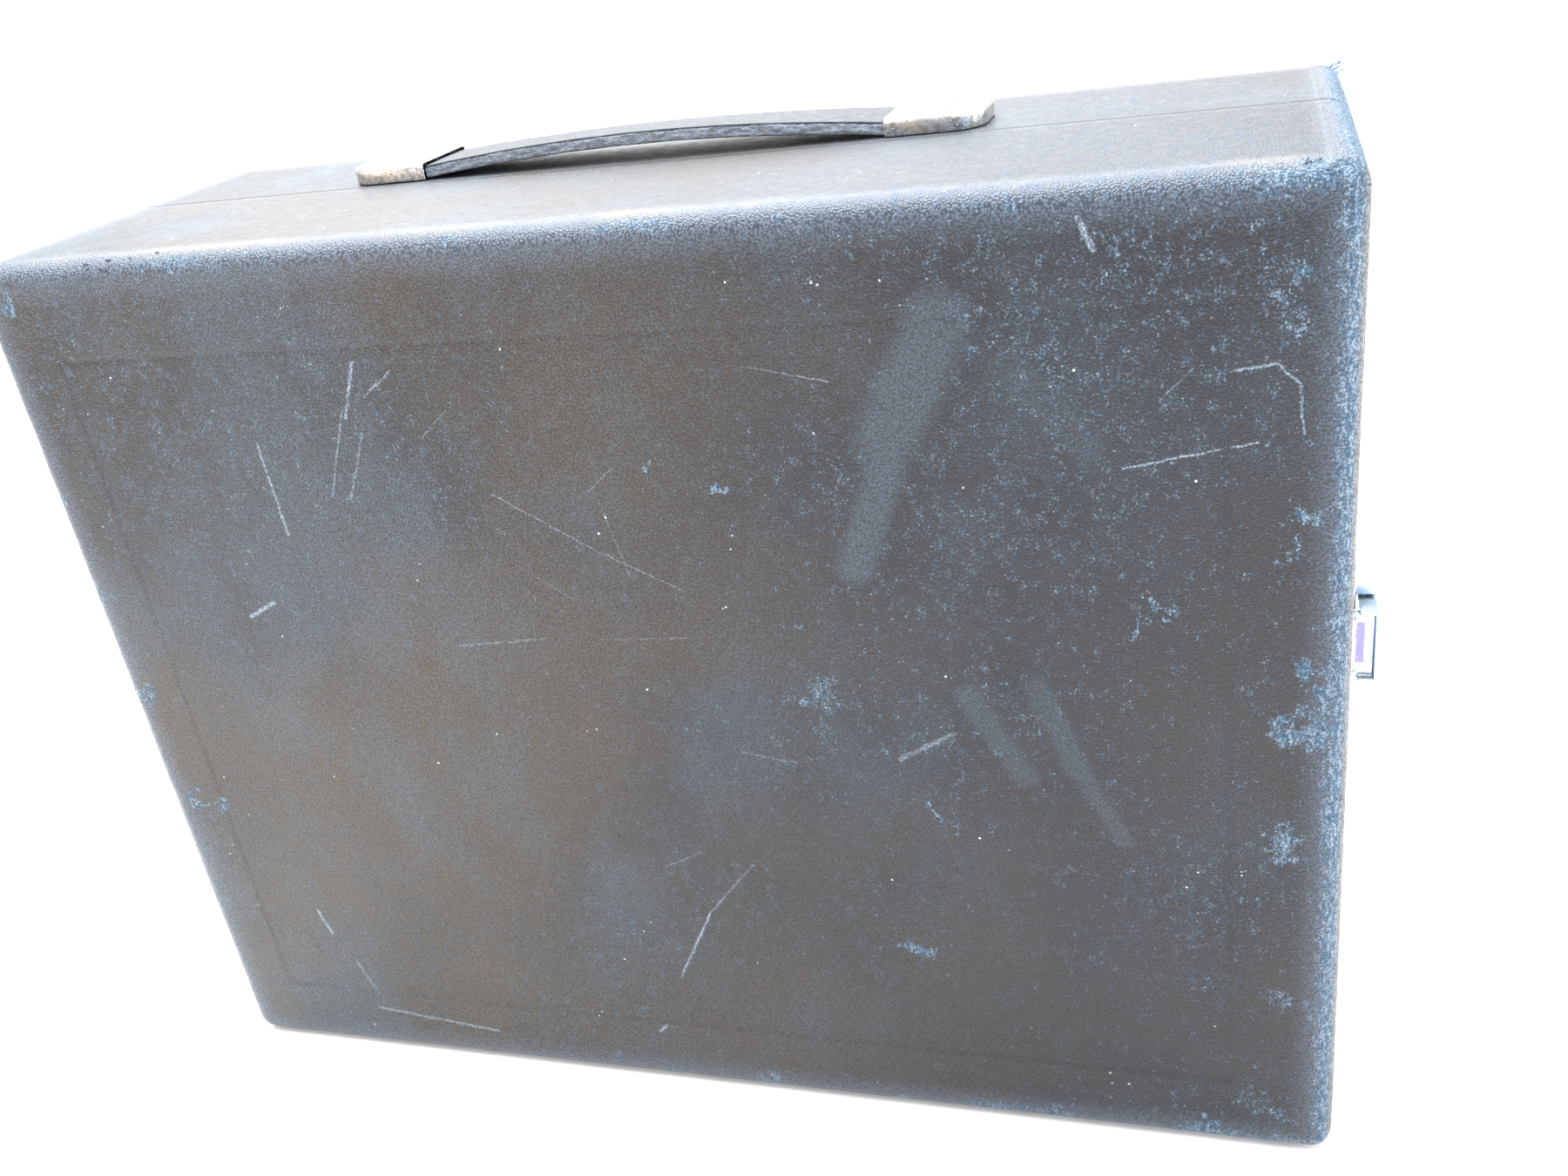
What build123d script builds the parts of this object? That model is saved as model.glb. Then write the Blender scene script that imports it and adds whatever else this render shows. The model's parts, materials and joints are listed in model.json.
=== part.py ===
"""A small hard case for carrying, covered in black leathercloth.

Two wooden trays close face to face: the lid in front and the body behind.
They are hinged on the left side, held by a sprung lock on the right side, and
carried by a flat strap handle on top of the body.

Millimetres. +X to the right, +Y from the lid to the body, +Z up.
The origin is on the surface the case stands on, under its middle.
"""

import os

from build123d import *

# ---- driving dimensions ----------------------------------------------------

# The closed case.
WIDTH = 380.0
HEIGHT = 292.0
DEPTH = 138.0
LID_DEPTH = 75.0
EDGE_RADIUS = 6.5
PARTING_GAP = 0.3

# Wall build-up, from the outside in.
CLOTH = 0.9
BOARD = 8.0
PANEL = 5.0
LINING = 0.6
RAIL_WIDTHS = {"left": 24.0, "right": 30.0, "bottom": 27.0, "top": 29.0}

# The wooden lip round the body's mouth.
LIP_THICKNESS = 3.1
LIP_REACH = 6.0
LIP_SEAT = 12.0
LIP_CLEARANCE = 0.5

# The strap handle.
HANDLE_X = -6.3
HANDLE_Y = 24.0
HANDLE_LENGTH = 203.0
HANDLE_WIDTH = 29.0
CAP_LENGTH = 28.0
CAP_HEIGHT = 5.2
CAP_SHEET = 0.8
CAP_CORNER = 9.0
CAP_EDGE = 1.6
STRAP_WIDTH = 26.5
STRAP_THICKNESS = 3.8
STRAP_SEAT = 0.3
STRAP_RISE = 4.1
STRAP_TUCK = 4.0
GRIP_LENGTH = 100.0
BAND_WIDTH = 19.0
BAND_THICKNESS = 0.8
STRAP_END_SLIDE = 2.4
END_PLATE = (14.0, 20.0, 1.2)
BOLT_FROM_END = 13.5
BOLT_RADIUS = 2.0
BOLT_HEAD_RADIUS = 4.4
BOLT_HEAD_HEIGHT = 1.8
WASHER_RADIUS = 5.6
WASHER_THICKNESS = 1.2
NUT_FLATS = 7.0
NUT_HEIGHT = 3.2
BOLT_HOLE_DEPTH = 10.0

# The two hinges.
HINGE_HEIGHT = 50.0
HINGE_HEIGHTS = {"lower": 60.0, "upper": 232.0}
LEAF_WIDTH = 20.0
LEAF_THICKNESS = 1.2
KNUCKLES = 5
KNUCKLE_RADIUS = 2.6
KNUCKLE_GAP = 0.3
HINGE_STAND_OFF = 2.9
HINGE_PIN_RADIUS = 1.25
RUNNING_CLEARANCE = 0.05
HINGE_TACK_FROM_END = 7.0
HINGE_TACK_FROM_PARTING = 13.2

# Tacks that hold hinges and lock.
TACK_RADIUS = 1.0
TACK_HEAD_RADIUS = 2.2
TACK_HEAD_HEIGHT = 0.8
TACK_LENGTH = 7.0

# The lock on the right side.
PLATE = 1.0
LOCK_PLATE_Y = (7.5, 33.5)
LOCK_PLATE_MARGIN = 1.0
LOCK_TACK_Y = 30.0
LOCK_TACK_FROM_END = 6.0
KEYHOLE = (23.0, 135.0)
KEYHOLE_RADIUS = 1.6
KEYHOLE_SLOT_WIDTH = 1.4
KEYHOLE_SLOT_LENGTH = 6.0
HASP_PLATE_EDGE = -19.0
HASP_TACK_Y = -14.5
HASP_TACK_FROM_END = 4.5
LOCK_SHEET = 0.8
HOUSING_Y = (8.5, 27.0)
HOUSING_Z = (117.0, 182.0)
HOUSING_ROOF = 6.0
HOUSING_CORNER = 2.0
NOTCH_Z = (130.0, 140.5)
NOTCH_Y = 17.0
SLIDER_SLOT_Y = (11.0, 19.0)
SLIDER_TRAVEL = 6.0
THUMB_PIECE_Z = (147.2, 163.0)
THUMB_PIECE_HEIGHT = 12.2
HASP_Z = (123.5, 146.5)
HASP_AXIS_OUT = 3.4
HASP_AXIS_Y = -2.2
HASP_KNUCKLE_RADIUS = 2.1
HASP_PIN_RADIUS = 1.0
HASP_TOP = 11.6
HASP_Y = (0.6, 20.5)
HASP_RECESS = 2.4
HASP_LIP = 1.2
LINK_HALF = 1.0
LATCH_PLATE_TOP = 172.0
LATCH_PLATE_THICKNESS = 1.2
LATCH_PLATE_MARGIN = 0.6
SPRING_WIRE = 0.5
SPRING_RADIUS = 1.3
SPRING_TURNS = 5
STAPLE_Y = (11.5, 14.5)
STAPLE_Z = (131.5, 135.5)
STAPLE_FOOT = 1.0
HOOK_LENGTH = 2.5
HOOK_THICKNESS = 1.2
WORKING_GAP = 0.4
# Drawing margin for cuts that have to pass right through something.
THROUGH = 1.0

# ---- derived places --------------------------------------------------------

RIGHT = WIDTH / 2
FRONT = -DEPTH / 2
BACK = DEPTH / 2
FULL_DEPTH = (FRONT, BACK)
PARTING_Y = FRONT + LID_DEPTH
LID_MOUTH = PARTING_Y - PARTING_GAP / 2
BODY_MOUTH = PARTING_Y + PARTING_GAP / 2
INNER_X = RIGHT - CLOTH - BOARD
INNER_FLOOR = CLOTH + BOARD
INNER_CEILING = HEIGHT - CLOTH - BOARD
LID_PANEL_INSIDE = FRONT + CLOTH + PANEL
BODY_PANEL_INSIDE = BACK - CLOTH - PANEL
HALF_HANDLE = HANDLE_LENGTH / 2
CAP_MOUTH = HALF_HANDLE - CAP_LENGTH
BOLT_X = HALF_HANDLE - BOLT_FROM_END
HINGE_X = -RIGHT - HINGE_STAND_OFF
HASP_AXIS_X = RIGHT + HASP_AXIS_OUT
SIDES = {"left": -1, "right": 1}


# ---- small helpers ---------------------------------------------------------

def span(x, y, z):
    """A block between two values on each axis."""
    size = [high - low for low, high in (x, y, z)]
    middle = [(low + high) / 2 for low, high in (x, y, z)]
    return Pos(*middle) * Box(*size)


def rounded_block(inset):
    """The whole closed case, drawn in by inset on every side."""
    block = Pos(0, 0, HEIGHT / 2) * Box(WIDTH - 2 * inset, DEPTH - 2 * inset, HEIGHT - 2 * inset)
    return fillet(block.edges(), EDGE_RADIUS - inset)


def rod(radius, start, length):
    """A round bar that rises from start."""
    x, y, z = start
    return Pos(x, y, z + length / 2) * Cylinder(radius, length)


def side_rod(radius, x, y, z):
    """A round bar along X, between the two values in x."""
    low, high = x
    return Pos((low + high) / 2, y, z) * Rot(0, 90, 0) * Cylinder(radius, high - low)


def domed_head(radius, height):
    """A shallow dome that stands on the XY plane."""
    ball = (radius ** 2 + height ** 2) / (2 * height)
    slice_above = Pos(0, 0, height / 2) * Box(3 * radius, 3 * radius, height)
    return Pos(0, 0, height - ball) * Sphere(ball) & slice_above


def tack(side, surface, y, z):
    """A domed tack driven into the left (-1) or right (1) wall from surface."""
    head = domed_head(TACK_HEAD_RADIUS, TACK_HEAD_HEIGHT)
    shank = Pos(0, 0, -TACK_LENGTH / 2) * Cylinder(TACK_RADIUS, TACK_LENGTH)
    return Pos(surface, y, z) * Rot(0, 90 * side, 0) * (head + shank)


def tacks(side, surface, places):
    """One tack at each of the places (y, z)."""
    return Compound([tack(side, surface, y, z).solid() for y, z in places])


def tack_hole(side, surface, y, z):
    """The hole that one tack's shank fills."""
    ends = sorted((surface, surface - side * TACK_LENGTH))
    return side_rod(TACK_RADIUS, ends, y, z)


def with_holes(shape, holes):
    """The shape with every hole cut from it."""
    for hole in holes:
        shape = shape - hole
    return shape


# ---- where the fasteners go ------------------------------------------------

def hinge_tacks(half):
    """Tack places (y, z) on the left wall: half is 1 on the body and -1 on the lid."""
    outer_row = HINGE_HEIGHT / 2 - HINGE_TACK_FROM_END
    rows = (-outer_row, 0, outer_row)
    y = PARTING_Y + half * HINGE_TACK_FROM_PARTING
    return [(y, middle + row) for middle in HINGE_HEIGHTS.values() for row in rows]


def lock_tacks():
    """Tack places (y, z) of the lock plate on the body's right wall."""
    low, high = HOUSING_Z
    return [(LOCK_TACK_Y, z) for z in (low + LOCK_TACK_FROM_END, (low + high) / 2, high - LOCK_TACK_FROM_END)]


def hasp_tacks():
    """Tack places (y, z) of the hasp plate on the lid's right wall."""
    return [(HASP_TACK_Y, z) for z in (HASP_Z[0] + HASP_TACK_FROM_END, HASP_Z[1] - HASP_TACK_FROM_END)]


LEAF_FACE = -RIGHT - LEAF_THICKNESS
PLATE_FACE = RIGHT + PLATE
BODY_TACK_HOLES = ([tack_hole(-1, LEAF_FACE, y, z) for y, z in hinge_tacks(1)]
                   + [tack_hole(1, PLATE_FACE, y, z) for y, z in lock_tacks()])
LID_TACK_HOLES = ([tack_hole(-1, LEAF_FACE, y, z) for y, z in hinge_tacks(-1)]
                  + [tack_hole(1, PLATE_FACE, y, z) for y, z in hasp_tacks()])
BOLT_FOOT = INNER_CEILING - BOLT_HOLE_DEPTH
BOLT_HOLES = [rod(BOLT_RADIUS, (HANDLE_X + side * BOLT_X, HANDLE_Y, BOLT_FOOT), HEIGHT - BOLT_FOOT + THROUGH)
              for side in SIDES.values()]


# ---- the two wooden trays --------------------------------------------------

def boards(mouth, panel_inside, holes):
    """Four boards round one tray, from its panel to the covering turned over its mouth."""
    y = sorted((mouth, panel_inside))
    wood = rounded_block(CLOTH)
    between = (INNER_FLOOR, INNER_CEILING)
    cuts = {
        "top": span((-RIGHT, RIGHT), y, (INNER_CEILING, HEIGHT)),
        "bottom": span((-RIGHT, RIGHT), y, (0, INNER_FLOOR)),
        "left": span((-RIGHT, -INNER_X), y, between),
        "right": span((INNER_X, RIGHT), y, between),
    }
    return {place: with_holes(wood & cut, holes) for place, cut in cuts.items()}


def panel(y):
    """The flat sheet that closes one tray."""
    return rounded_block(CLOTH) & span((-RIGHT, RIGHT), y, (0, HEIGHT))


def panel_window(y):
    """The space inside the rails of the lid's framed panel."""
    x = (-RIGHT + RAIL_WIDTHS["left"], RIGHT - RAIL_WIDTHS["right"])
    return span(x, y, (RAIL_WIDTHS["bottom"], HEIGHT - RAIL_WIDTHS["top"]))


def panel_rails(y):
    """Four rails round the lid's panel: two full width, two between them."""
    frame = panel(y) - panel_window(y)
    low = (0, RAIL_WIDTHS["bottom"])
    middle = (RAIL_WIDTHS["bottom"], HEIGHT - RAIL_WIDTHS["top"])
    high = (HEIGHT - RAIL_WIDTHS["top"], HEIGHT)
    full = (-RIGHT, RIGHT)
    cuts = [span(full, y, low), span(full, y, high)]
    cuts += [span((-RIGHT, 0), y, middle), span((0, RIGHT), y, middle)]
    return Compound([(frame & cut).solid() for cut in cuts])


def covering(mouth, outer_face, holes):
    """A tray's leathercloth: a band round its edge, turned over the mouth, and a flat face sheet."""
    inward = CLOTH if outer_face < mouth else -CLOTH
    everywhere = (-RIGHT, RIGHT)
    shell = rounded_block(0) - rounded_block(CLOTH)
    band = shell & span(everywhere, sorted((mouth, outer_face)), (0, HEIGHT))
    turned_edge = rounded_block(CLOTH) & span(everywhere, sorted((mouth - inward, mouth)), (0, HEIGHT))
    cavity = span((-INNER_X, INNER_X), FULL_DEPTH, (INNER_FLOOR, INNER_CEILING))
    flat_x = RIGHT - EDGE_RADIUS
    flat_z = (EDGE_RADIUS, HEIGHT - EDGE_RADIUS)
    sheet = span((-flat_x, flat_x), sorted((outer_face, outer_face + inward)), flat_z)
    return with_holes(band + (turned_edge - cavity) - sheet, holes), sheet


def lining(y, open_end, holes):
    """A thin cloth box glued inside a tray, open at the end named open_end."""
    outside = span((-INNER_X, INNER_X), y, (INNER_FLOOR, INNER_CEILING))
    inner_y = [y[0] + LINING, y[1] - LINING]
    inner_y[open_end] = y[open_end]
    inner_z = (INNER_FLOOR + LINING, INNER_CEILING - LINING)
    hollow = span((-INNER_X + LINING, INNER_X - LINING), inner_y, inner_z)
    return with_holes(outside - hollow, holes)


def ring(inset, thickness, y):
    """A rectangular ring of one thickness, drawn in from the boards' inner faces."""
    outer = span((-INNER_X + inset, INNER_X - inset), y, (INNER_FLOOR + inset, INNER_CEILING - inset))
    reach = inset + thickness
    inner = span((-INNER_X + reach, INNER_X - reach), y, (INNER_FLOOR + reach, INNER_CEILING - reach))
    return outer - inner


def closing_lip():
    """Four strips round the body's mouth that slip inside the lid."""
    rebate = LINING + LIP_CLEARANCE
    seat = ring(0, LIP_THICKNESS, (BODY_MOUTH, BODY_MOUTH + LIP_SEAT))
    tongue = ring(rebate, LIP_THICKNESS - rebate, (PARTING_Y - LIP_REACH, BODY_MOUTH))
    whole = seat + tongue
    y = (PARTING_Y - LIP_REACH, BODY_MOUTH + LIP_SEAT)
    full = (-RIGHT, RIGHT)
    low = (0, INNER_FLOOR + LIP_THICKNESS)
    middle = (INNER_FLOOR + LIP_THICKNESS, INNER_CEILING - LIP_THICKNESS)
    high = (INNER_CEILING - LIP_THICKNESS, HEIGHT)
    cuts = [span(full, y, low), span(full, y, high)]
    cuts += [span((-RIGHT, 0), y, middle), span((0, RIGHT), y, middle)]
    return Compound([(whole & cut).solid() for cut in cuts])


def trays():
    """Boards, panels, covering, lining and lip of both trays."""
    parts = {}
    for place, board in boards(LID_MOUTH - CLOTH, LID_PANEL_INSIDE, LID_TACK_HOLES).items():
        parts["lid_board_" + place] = board
    for place, board in boards(BODY_MOUTH + CLOTH, BODY_PANEL_INSIDE, BODY_TACK_HOLES + BOLT_HOLES).items():
        parts["body_board_" + place] = board
    lid_panel = (FRONT + CLOTH, LID_PANEL_INSIDE)
    parts["lid_panel_rails"] = panel_rails(lid_panel)
    parts["lid_panel_infill"] = panel_window(lid_panel)
    parts["back_panel"] = panel((BODY_PANEL_INSIDE, BACK - CLOTH))
    parts["lid_edge_covering"], parts["lid_face_covering"] = covering(LID_MOUTH, FRONT, LID_TACK_HOLES)
    parts["body_edge_covering"], parts["body_face_covering"] = covering(
        BODY_MOUTH, BACK, BODY_TACK_HOLES + BOLT_HOLES)
    parts["lid_lining"] = lining((LID_PANEL_INSIDE, LID_MOUTH), 1, [])
    parts["body_lining"] = lining((BODY_MOUTH + LIP_SEAT, BODY_PANEL_INSIDE), 0, BOLT_HOLES)
    parts["closing_lip"] = closing_lip()
    return parts


# ---- the strap handle ------------------------------------------------------

def on_handle(shape):
    """Moves a shape from the handle's own middle to its place on top of the body."""
    return Pos(HANDLE_X, HANDLE_Y, HEIGHT) * shape


def cap_plan(inset, mouth):
    """The right cap's outline from above: round outer corners, square at its mouth."""
    outer = HALF_HANDLE - inset
    width = HANDLE_WIDTH - 2 * inset
    outline = Pos((mouth + outer) / 2, 0) * Rectangle(outer - mouth, width)
    corners = outline.vertices().group_by(Axis.X)[-1]
    return fillet(corners, CAP_CORNER - inset)


def right_cap():
    """A pressed sheet cap, open below and at its mouth."""
    cap = extrude(cap_plan(0, CAP_MOUTH), amount=CAP_HEIGHT)
    top_edges = cap.edges().group_by(Axis.Z)[-1]
    cap = fillet(top_edges.sort_by(Axis.X)[1:], CAP_EDGE)
    hollow = extrude(cap_plan(CAP_SHEET, CAP_MOUTH - THROUGH), amount=CAP_HEIGHT - CAP_SHEET)
    bolt_hole = rod(BOLT_RADIUS, (BOLT_X, 0, 0), CAP_HEIGHT + THROUGH)
    return cap - hollow - bolt_hole


def strap_slab(thickness, width, lift):
    """A strip that arches gently between the caps, lift above the strap's own underside."""
    end = CAP_MOUTH + STRAP_TUCK
    low = STRAP_SEAT + lift
    high = low + thickness
    outline = [
        Line((-end, low), (-CAP_MOUTH, low)),
        ThreePointArc((-CAP_MOUTH, low), (0, low + STRAP_RISE), (CAP_MOUTH, low)),
        Line((CAP_MOUTH, low), (end, low)),
        Line((end, low), (end, high)),
        Line((end, high), (CAP_MOUTH, high)),
        ThreePointArc((CAP_MOUTH, high), (0, high + STRAP_RISE), (-CAP_MOUTH, high)),
        Line((-CAP_MOUTH, high), (-end, high)),
        Line((-end, high), (-end, low)),
    ]
    profile = Plane.XZ * make_face(Wire(outline))
    return extrude(profile, amount=width / 2, both=True)


def strap():
    """The stiff middle of the strap, its spring band, and its two bending tails."""
    cover = strap_slab(STRAP_THICKNESS, STRAP_WIDTH, 0)
    band = strap_slab(BAND_THICKNESS, BAND_WIDTH, (STRAP_THICKNESS - BAND_THICKNESS) / 2)
    half_grip = GRIP_LENGTH / 2
    y = (-HANDLE_WIDTH, HANDLE_WIDTH)
    z = (0, 5 * STRAP_THICKNESS)
    middle = span((-half_grip, half_grip), y, z)
    left = span((-HALF_HANDLE, -half_grip), y, z)
    right = span((half_grip, HALF_HANDLE), y, z)
    return {
        "strap_grip": on_handle((cover - band) & middle),
        "strap_band": on_handle(band & middle),
        "strap_tail_left": on_handle(cover & left),
        "strap_tail_right": on_handle(cover & right),
    }


def right_strap_end():
    """A slotted steel plate that slides under the cap, round the bolt."""
    length, width, thickness = END_PLATE
    low = BOLT_X - length / 2
    bottom = STRAP_SEAT + (STRAP_THICKNESS - thickness) / 2
    plate = span((low, low + length), (-width / 2, width / 2), (bottom, bottom + thickness))
    slot_radius = BOLT_RADIUS + 2 * RUNNING_CLEARANCE
    slot = span((BOLT_X, BOLT_X + STRAP_END_SLIDE), (-slot_radius, slot_radius), (0, CAP_HEIGHT))
    for x in (BOLT_X, BOLT_X + STRAP_END_SLIDE):
        slot = slot + rod(slot_radius, (x, 0, 0), CAP_HEIGHT)
    return plate - slot


def handle():
    """Caps, strap, sliding ends and the bolts that hold them."""
    parts = strap()
    bolts, washers, nuts = [], [], []
    ceiling = INNER_CEILING - LINING - HEIGHT
    shank_foot = ceiling - WASHER_THICKNESS - NUT_HEIGHT
    nut_plan = RegularPolygon(NUT_FLATS / 2, 6, major_radius=False)
    for name, side in SIDES.items():
        cap = right_cap()
        end = right_strap_end()
        if side < 0:
            cap = mirror(cap, about=Plane.YZ)
            end = mirror(end, about=Plane.YZ)
        parts["handle_cap_" + name] = on_handle(cap)
        parts["strap_end_" + name] = on_handle(end)
        x = side * BOLT_X
        head = Pos(x, 0, CAP_HEIGHT) * domed_head(BOLT_HEAD_RADIUS, BOLT_HEAD_HEIGHT)
        shank = rod(BOLT_RADIUS, (x, 0, shank_foot), CAP_HEIGHT - shank_foot)
        bore = rod(BOLT_RADIUS, (x, 0, shank_foot), NUT_HEIGHT + WASHER_THICKNESS)
        washer = rod(WASHER_RADIUS, (x, 0, ceiling - WASHER_THICKNESS), WASHER_THICKNESS)
        nut = Pos(x, 0, shank_foot) * extrude(nut_plan, amount=NUT_HEIGHT)
        bolts.append(on_handle(head + shank).solid())
        washers.append(on_handle(washer - bore).solid())
        nuts.append(on_handle(nut - bore).solid())
    parts["handle_bolts"] = Compound(bolts)
    parts["handle_washers"] = Compound(washers)
    parts["handle_nuts"] = Compound(nuts)
    return parts


# ---- the hinges ------------------------------------------------------------

def knuckle_spans(middle, wanted):
    """Heights of every second knuckle of one hinge, from the first (0) or second (1)."""
    pitch = HINGE_HEIGHT / KNUCKLES
    foot = middle - HINGE_HEIGHT / 2
    return [(foot + i * pitch + KNUCKLE_GAP / 2, foot + (i + 1) * pitch - KNUCKLE_GAP / 2)
            for i in range(wanted, KNUCKLES, 2)]


def hinge_leaf(middle, half):
    """One leaf with its rolled knuckles: half is 1 on the body and -1 on the lid."""
    own, other = (0, 1) if half > 0 else (1, 0)
    y = sorted((PARTING_Y + half * KNUCKLE_GAP, PARTING_Y + half * LEAF_WIDTH))
    z = (middle - HINGE_HEIGHT / 2, middle + HINGE_HEIGHT / 2)
    leaf = span((LEAF_FACE, -RIGHT), y, z)
    for low, high in knuckle_spans(middle, other):
        room = rod(KNUCKLE_RADIUS + KNUCKLE_GAP, (HINGE_X, PARTING_Y, low - KNUCKLE_GAP),
                   high - low + 2 * KNUCKLE_GAP)
        leaf = leaf - room
    for low, high in knuckle_spans(middle, own):
        leaf = leaf + rod(KNUCKLE_RADIUS, (HINGE_X, PARTING_Y, low), high - low)
    bore = HINGE_PIN_RADIUS + (0 if half > 0 else RUNNING_CLEARANCE)
    leaf = leaf - rod(bore, (HINGE_X, PARTING_Y, z[0] - THROUGH), HINGE_HEIGHT + 2 * THROUGH)
    holes = [tack_hole(-1, LEAF_FACE, y, z) for y, z in hinge_tacks(half)]
    return with_holes(leaf, holes)


def hinges():
    """Two butt hinges with their pins and tacks."""
    parts = {}
    for name, middle in HINGE_HEIGHTS.items():
        parts["hinge_leaf_body_" + name] = hinge_leaf(middle, 1)
        parts["hinge_leaf_lid_" + name] = hinge_leaf(middle, -1)
        foot = (HINGE_X, PARTING_Y, middle - HINGE_HEIGHT / 2)
        parts["hinge_pin_" + name] = rod(HINGE_PIN_RADIUS, foot, HINGE_HEIGHT)
    parts["hinge_tacks_body"] = tacks(-1, LEAF_FACE, hinge_tacks(1))
    parts["hinge_tacks_lid"] = tacks(-1, LEAF_FACE, hinge_tacks(-1))
    return parts


# ---- the lock --------------------------------------------------------------

def lock_housing():
    """The pressed case of the lock, open at its base, with a notch for the hasp's staple."""
    foot = RIGHT + PLATE
    roof = RIGHT + HOUSING_ROOF
    shell = span((foot, roof), HOUSING_Y, HOUSING_Z)
    outer_edges = shell.edges().filter_by(Axis.X) + shell.edges().group_by(Axis.X)[-1]
    shell = fillet(outer_edges, HOUSING_CORNER)
    inner_y = (HOUSING_Y[0] + LOCK_SHEET, HOUSING_Y[1] - LOCK_SHEET)
    inner_z = (HOUSING_Z[0] + LOCK_SHEET, HOUSING_Z[1] - LOCK_SHEET)
    hollow = span((foot - THROUGH, roof - LOCK_SHEET), inner_y, inner_z)
    notch = span((foot - THROUGH, roof + THROUGH), (HOUSING_Y[0] - THROUGH, NOTCH_Y), NOTCH_Z)
    through_roof = (roof - LOCK_SHEET - THROUGH, roof + THROUGH)
    slot_z = (THUMB_PIECE_Z[0] - WORKING_GAP, THUMB_PIECE_Z[1] + SLIDER_TRAVEL + WORKING_GAP)
    slot = span(through_roof, SLIDER_SLOT_Y, slot_z)
    key_y, key_z = KEYHOLE
    key_slot_y = (key_y - KEYHOLE_SLOT_WIDTH / 2, key_y + KEYHOLE_SLOT_WIDTH / 2)
    keyhole = side_rod(KEYHOLE_RADIUS, through_roof, key_y, key_z)
    keyhole = keyhole + span(through_roof, key_slot_y, (key_z - KEYHOLE_SLOT_LENGTH, key_z))
    return shell - hollow - notch - slot - keyhole


def lock_slider():
    """The wedge-shaped thumb piece outside the housing and the latch plate inside it."""
    under_roof = RIGHT + HOUSING_ROOF - LOCK_SHEET - WORKING_GAP
    low, high = THUMB_PIECE_Z
    narrow_y = (SLIDER_SLOT_Y[0] + WORKING_GAP, SLIDER_SLOT_Y[1] - WORKING_GAP)
    peak = RIGHT + THUMB_PIECE_HEIGHT
    shoulder = RIGHT + HOUSING_ROOF + WORKING_GAP
    worn_nose = [(peak - 0.6, low), (peak, low + 0.8), (peak - 0.2, low + 2.4)]
    corners = [(under_roof, low), *worn_nose, (shoulder, high), (under_roof, high)]
    profile = Plane.XZ * make_face(Polyline(*corners, close=True))
    wedge = Pos(0, narrow_y[1], 0) * extrude(profile, amount=narrow_y[1] - narrow_y[0])
    hook_tip = STAPLE_Z[1] + HOOK_LENGTH
    plate_y = (narrow_y[0] - LATCH_PLATE_MARGIN, narrow_y[1] + LATCH_PLATE_MARGIN)
    plate_z = (hook_tip + WORKING_GAP, LATCH_PLATE_TOP)
    plate = span((under_roof - LATCH_PLATE_THICKNESS, under_roof), plate_y, plate_z)
    return wedge + plate


def slider_spring():
    """A small coil spring of square wire between the latch plate and the housing's upper end."""
    foot = LATCH_PLATE_TOP + SPRING_WIRE
    height = HOUSING_Z[1] - LOCK_SHEET - foot - SPRING_WIRE
    path = Helix(pitch=height / SPRING_TURNS, height=height, radius=SPRING_RADIUS)
    section = Plane(origin=path @ 0, z_dir=path % 0) * Rectangle(SPRING_WIRE, SPRING_WIRE)
    middle_x = RIGHT + PLATE + SPRING_RADIUS + 2 * SPRING_WIRE
    return Pos(middle_x, sum(SLIDER_SLOT_Y) / 2, foot) * sweep(section, path=path)


def hasp():
    """The swinging hasp: a deep pressed pan, its knuckle, and a hooked staple."""
    top = RIGHT + HASP_TOP
    low, high = HASP_Z
    web_y = (HASP_Y[0] + HASP_RECESS, HASP_Y[0] + HASP_RECESS + LOCK_SHEET)
    plate = span((top - LOCK_SHEET, top), HASP_Y, HASP_Z)
    lip = span((top - LOCK_SHEET, top + HASP_LIP), (HASP_Y[1] - LOCK_SHEET, HASP_Y[1]), HASP_Z)
    flange_x = (RIGHT + HOUSING_ROOF + WORKING_GAP, top)
    low_flange = span(flange_x, HASP_Y, (low, low + LOCK_SHEET))
    high_flange = span(flange_x, HASP_Y, (high - LOCK_SHEET, high))
    web = span((HASP_AXIS_X - LINK_HALF, top), web_y, HASP_Z)
    knuckle_low, knuckle_high = hasp_knuckle_spans()[1]
    link_x = (HASP_AXIS_X - LINK_HALF, HASP_AXIS_X + LINK_HALF)
    link = span(link_x, (HASP_AXIS_Y, web_y[1]), (knuckle_low, knuckle_high))
    axis_foot = (HASP_AXIS_X, HASP_AXIS_Y, knuckle_low)
    knuckle = rod(HASP_KNUCKLE_RADIUS, axis_foot, knuckle_high - knuckle_low)
    hook_foot = RIGHT + PLATE + STAPLE_FOOT
    staple = span((hook_foot, top), STAPLE_Y, STAPLE_Z)
    hook = span((hook_foot, hook_foot + HOOK_THICKNESS), STAPLE_Y, (STAPLE_Z[1], STAPLE_Z[1] + HOOK_LENGTH))
    bore = rod(HASP_PIN_RADIUS + RUNNING_CLEARANCE, (HASP_AXIS_X, HASP_AXIS_Y, low), high - low)
    pan = plate + lip + low_flange + high_flange + web
    return pan + link + knuckle + staple + hook - bore


def hasp_knuckle_spans():
    """Heights of the three knuckles on the hasp's pin: the plate's, the hasp's, the plate's."""
    low, high = HASP_Z
    end = (high - low) / 4
    return [(low, low + end), (low + end + KNUCKLE_GAP, high - end - KNUCKLE_GAP), (high - end, high)]


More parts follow.
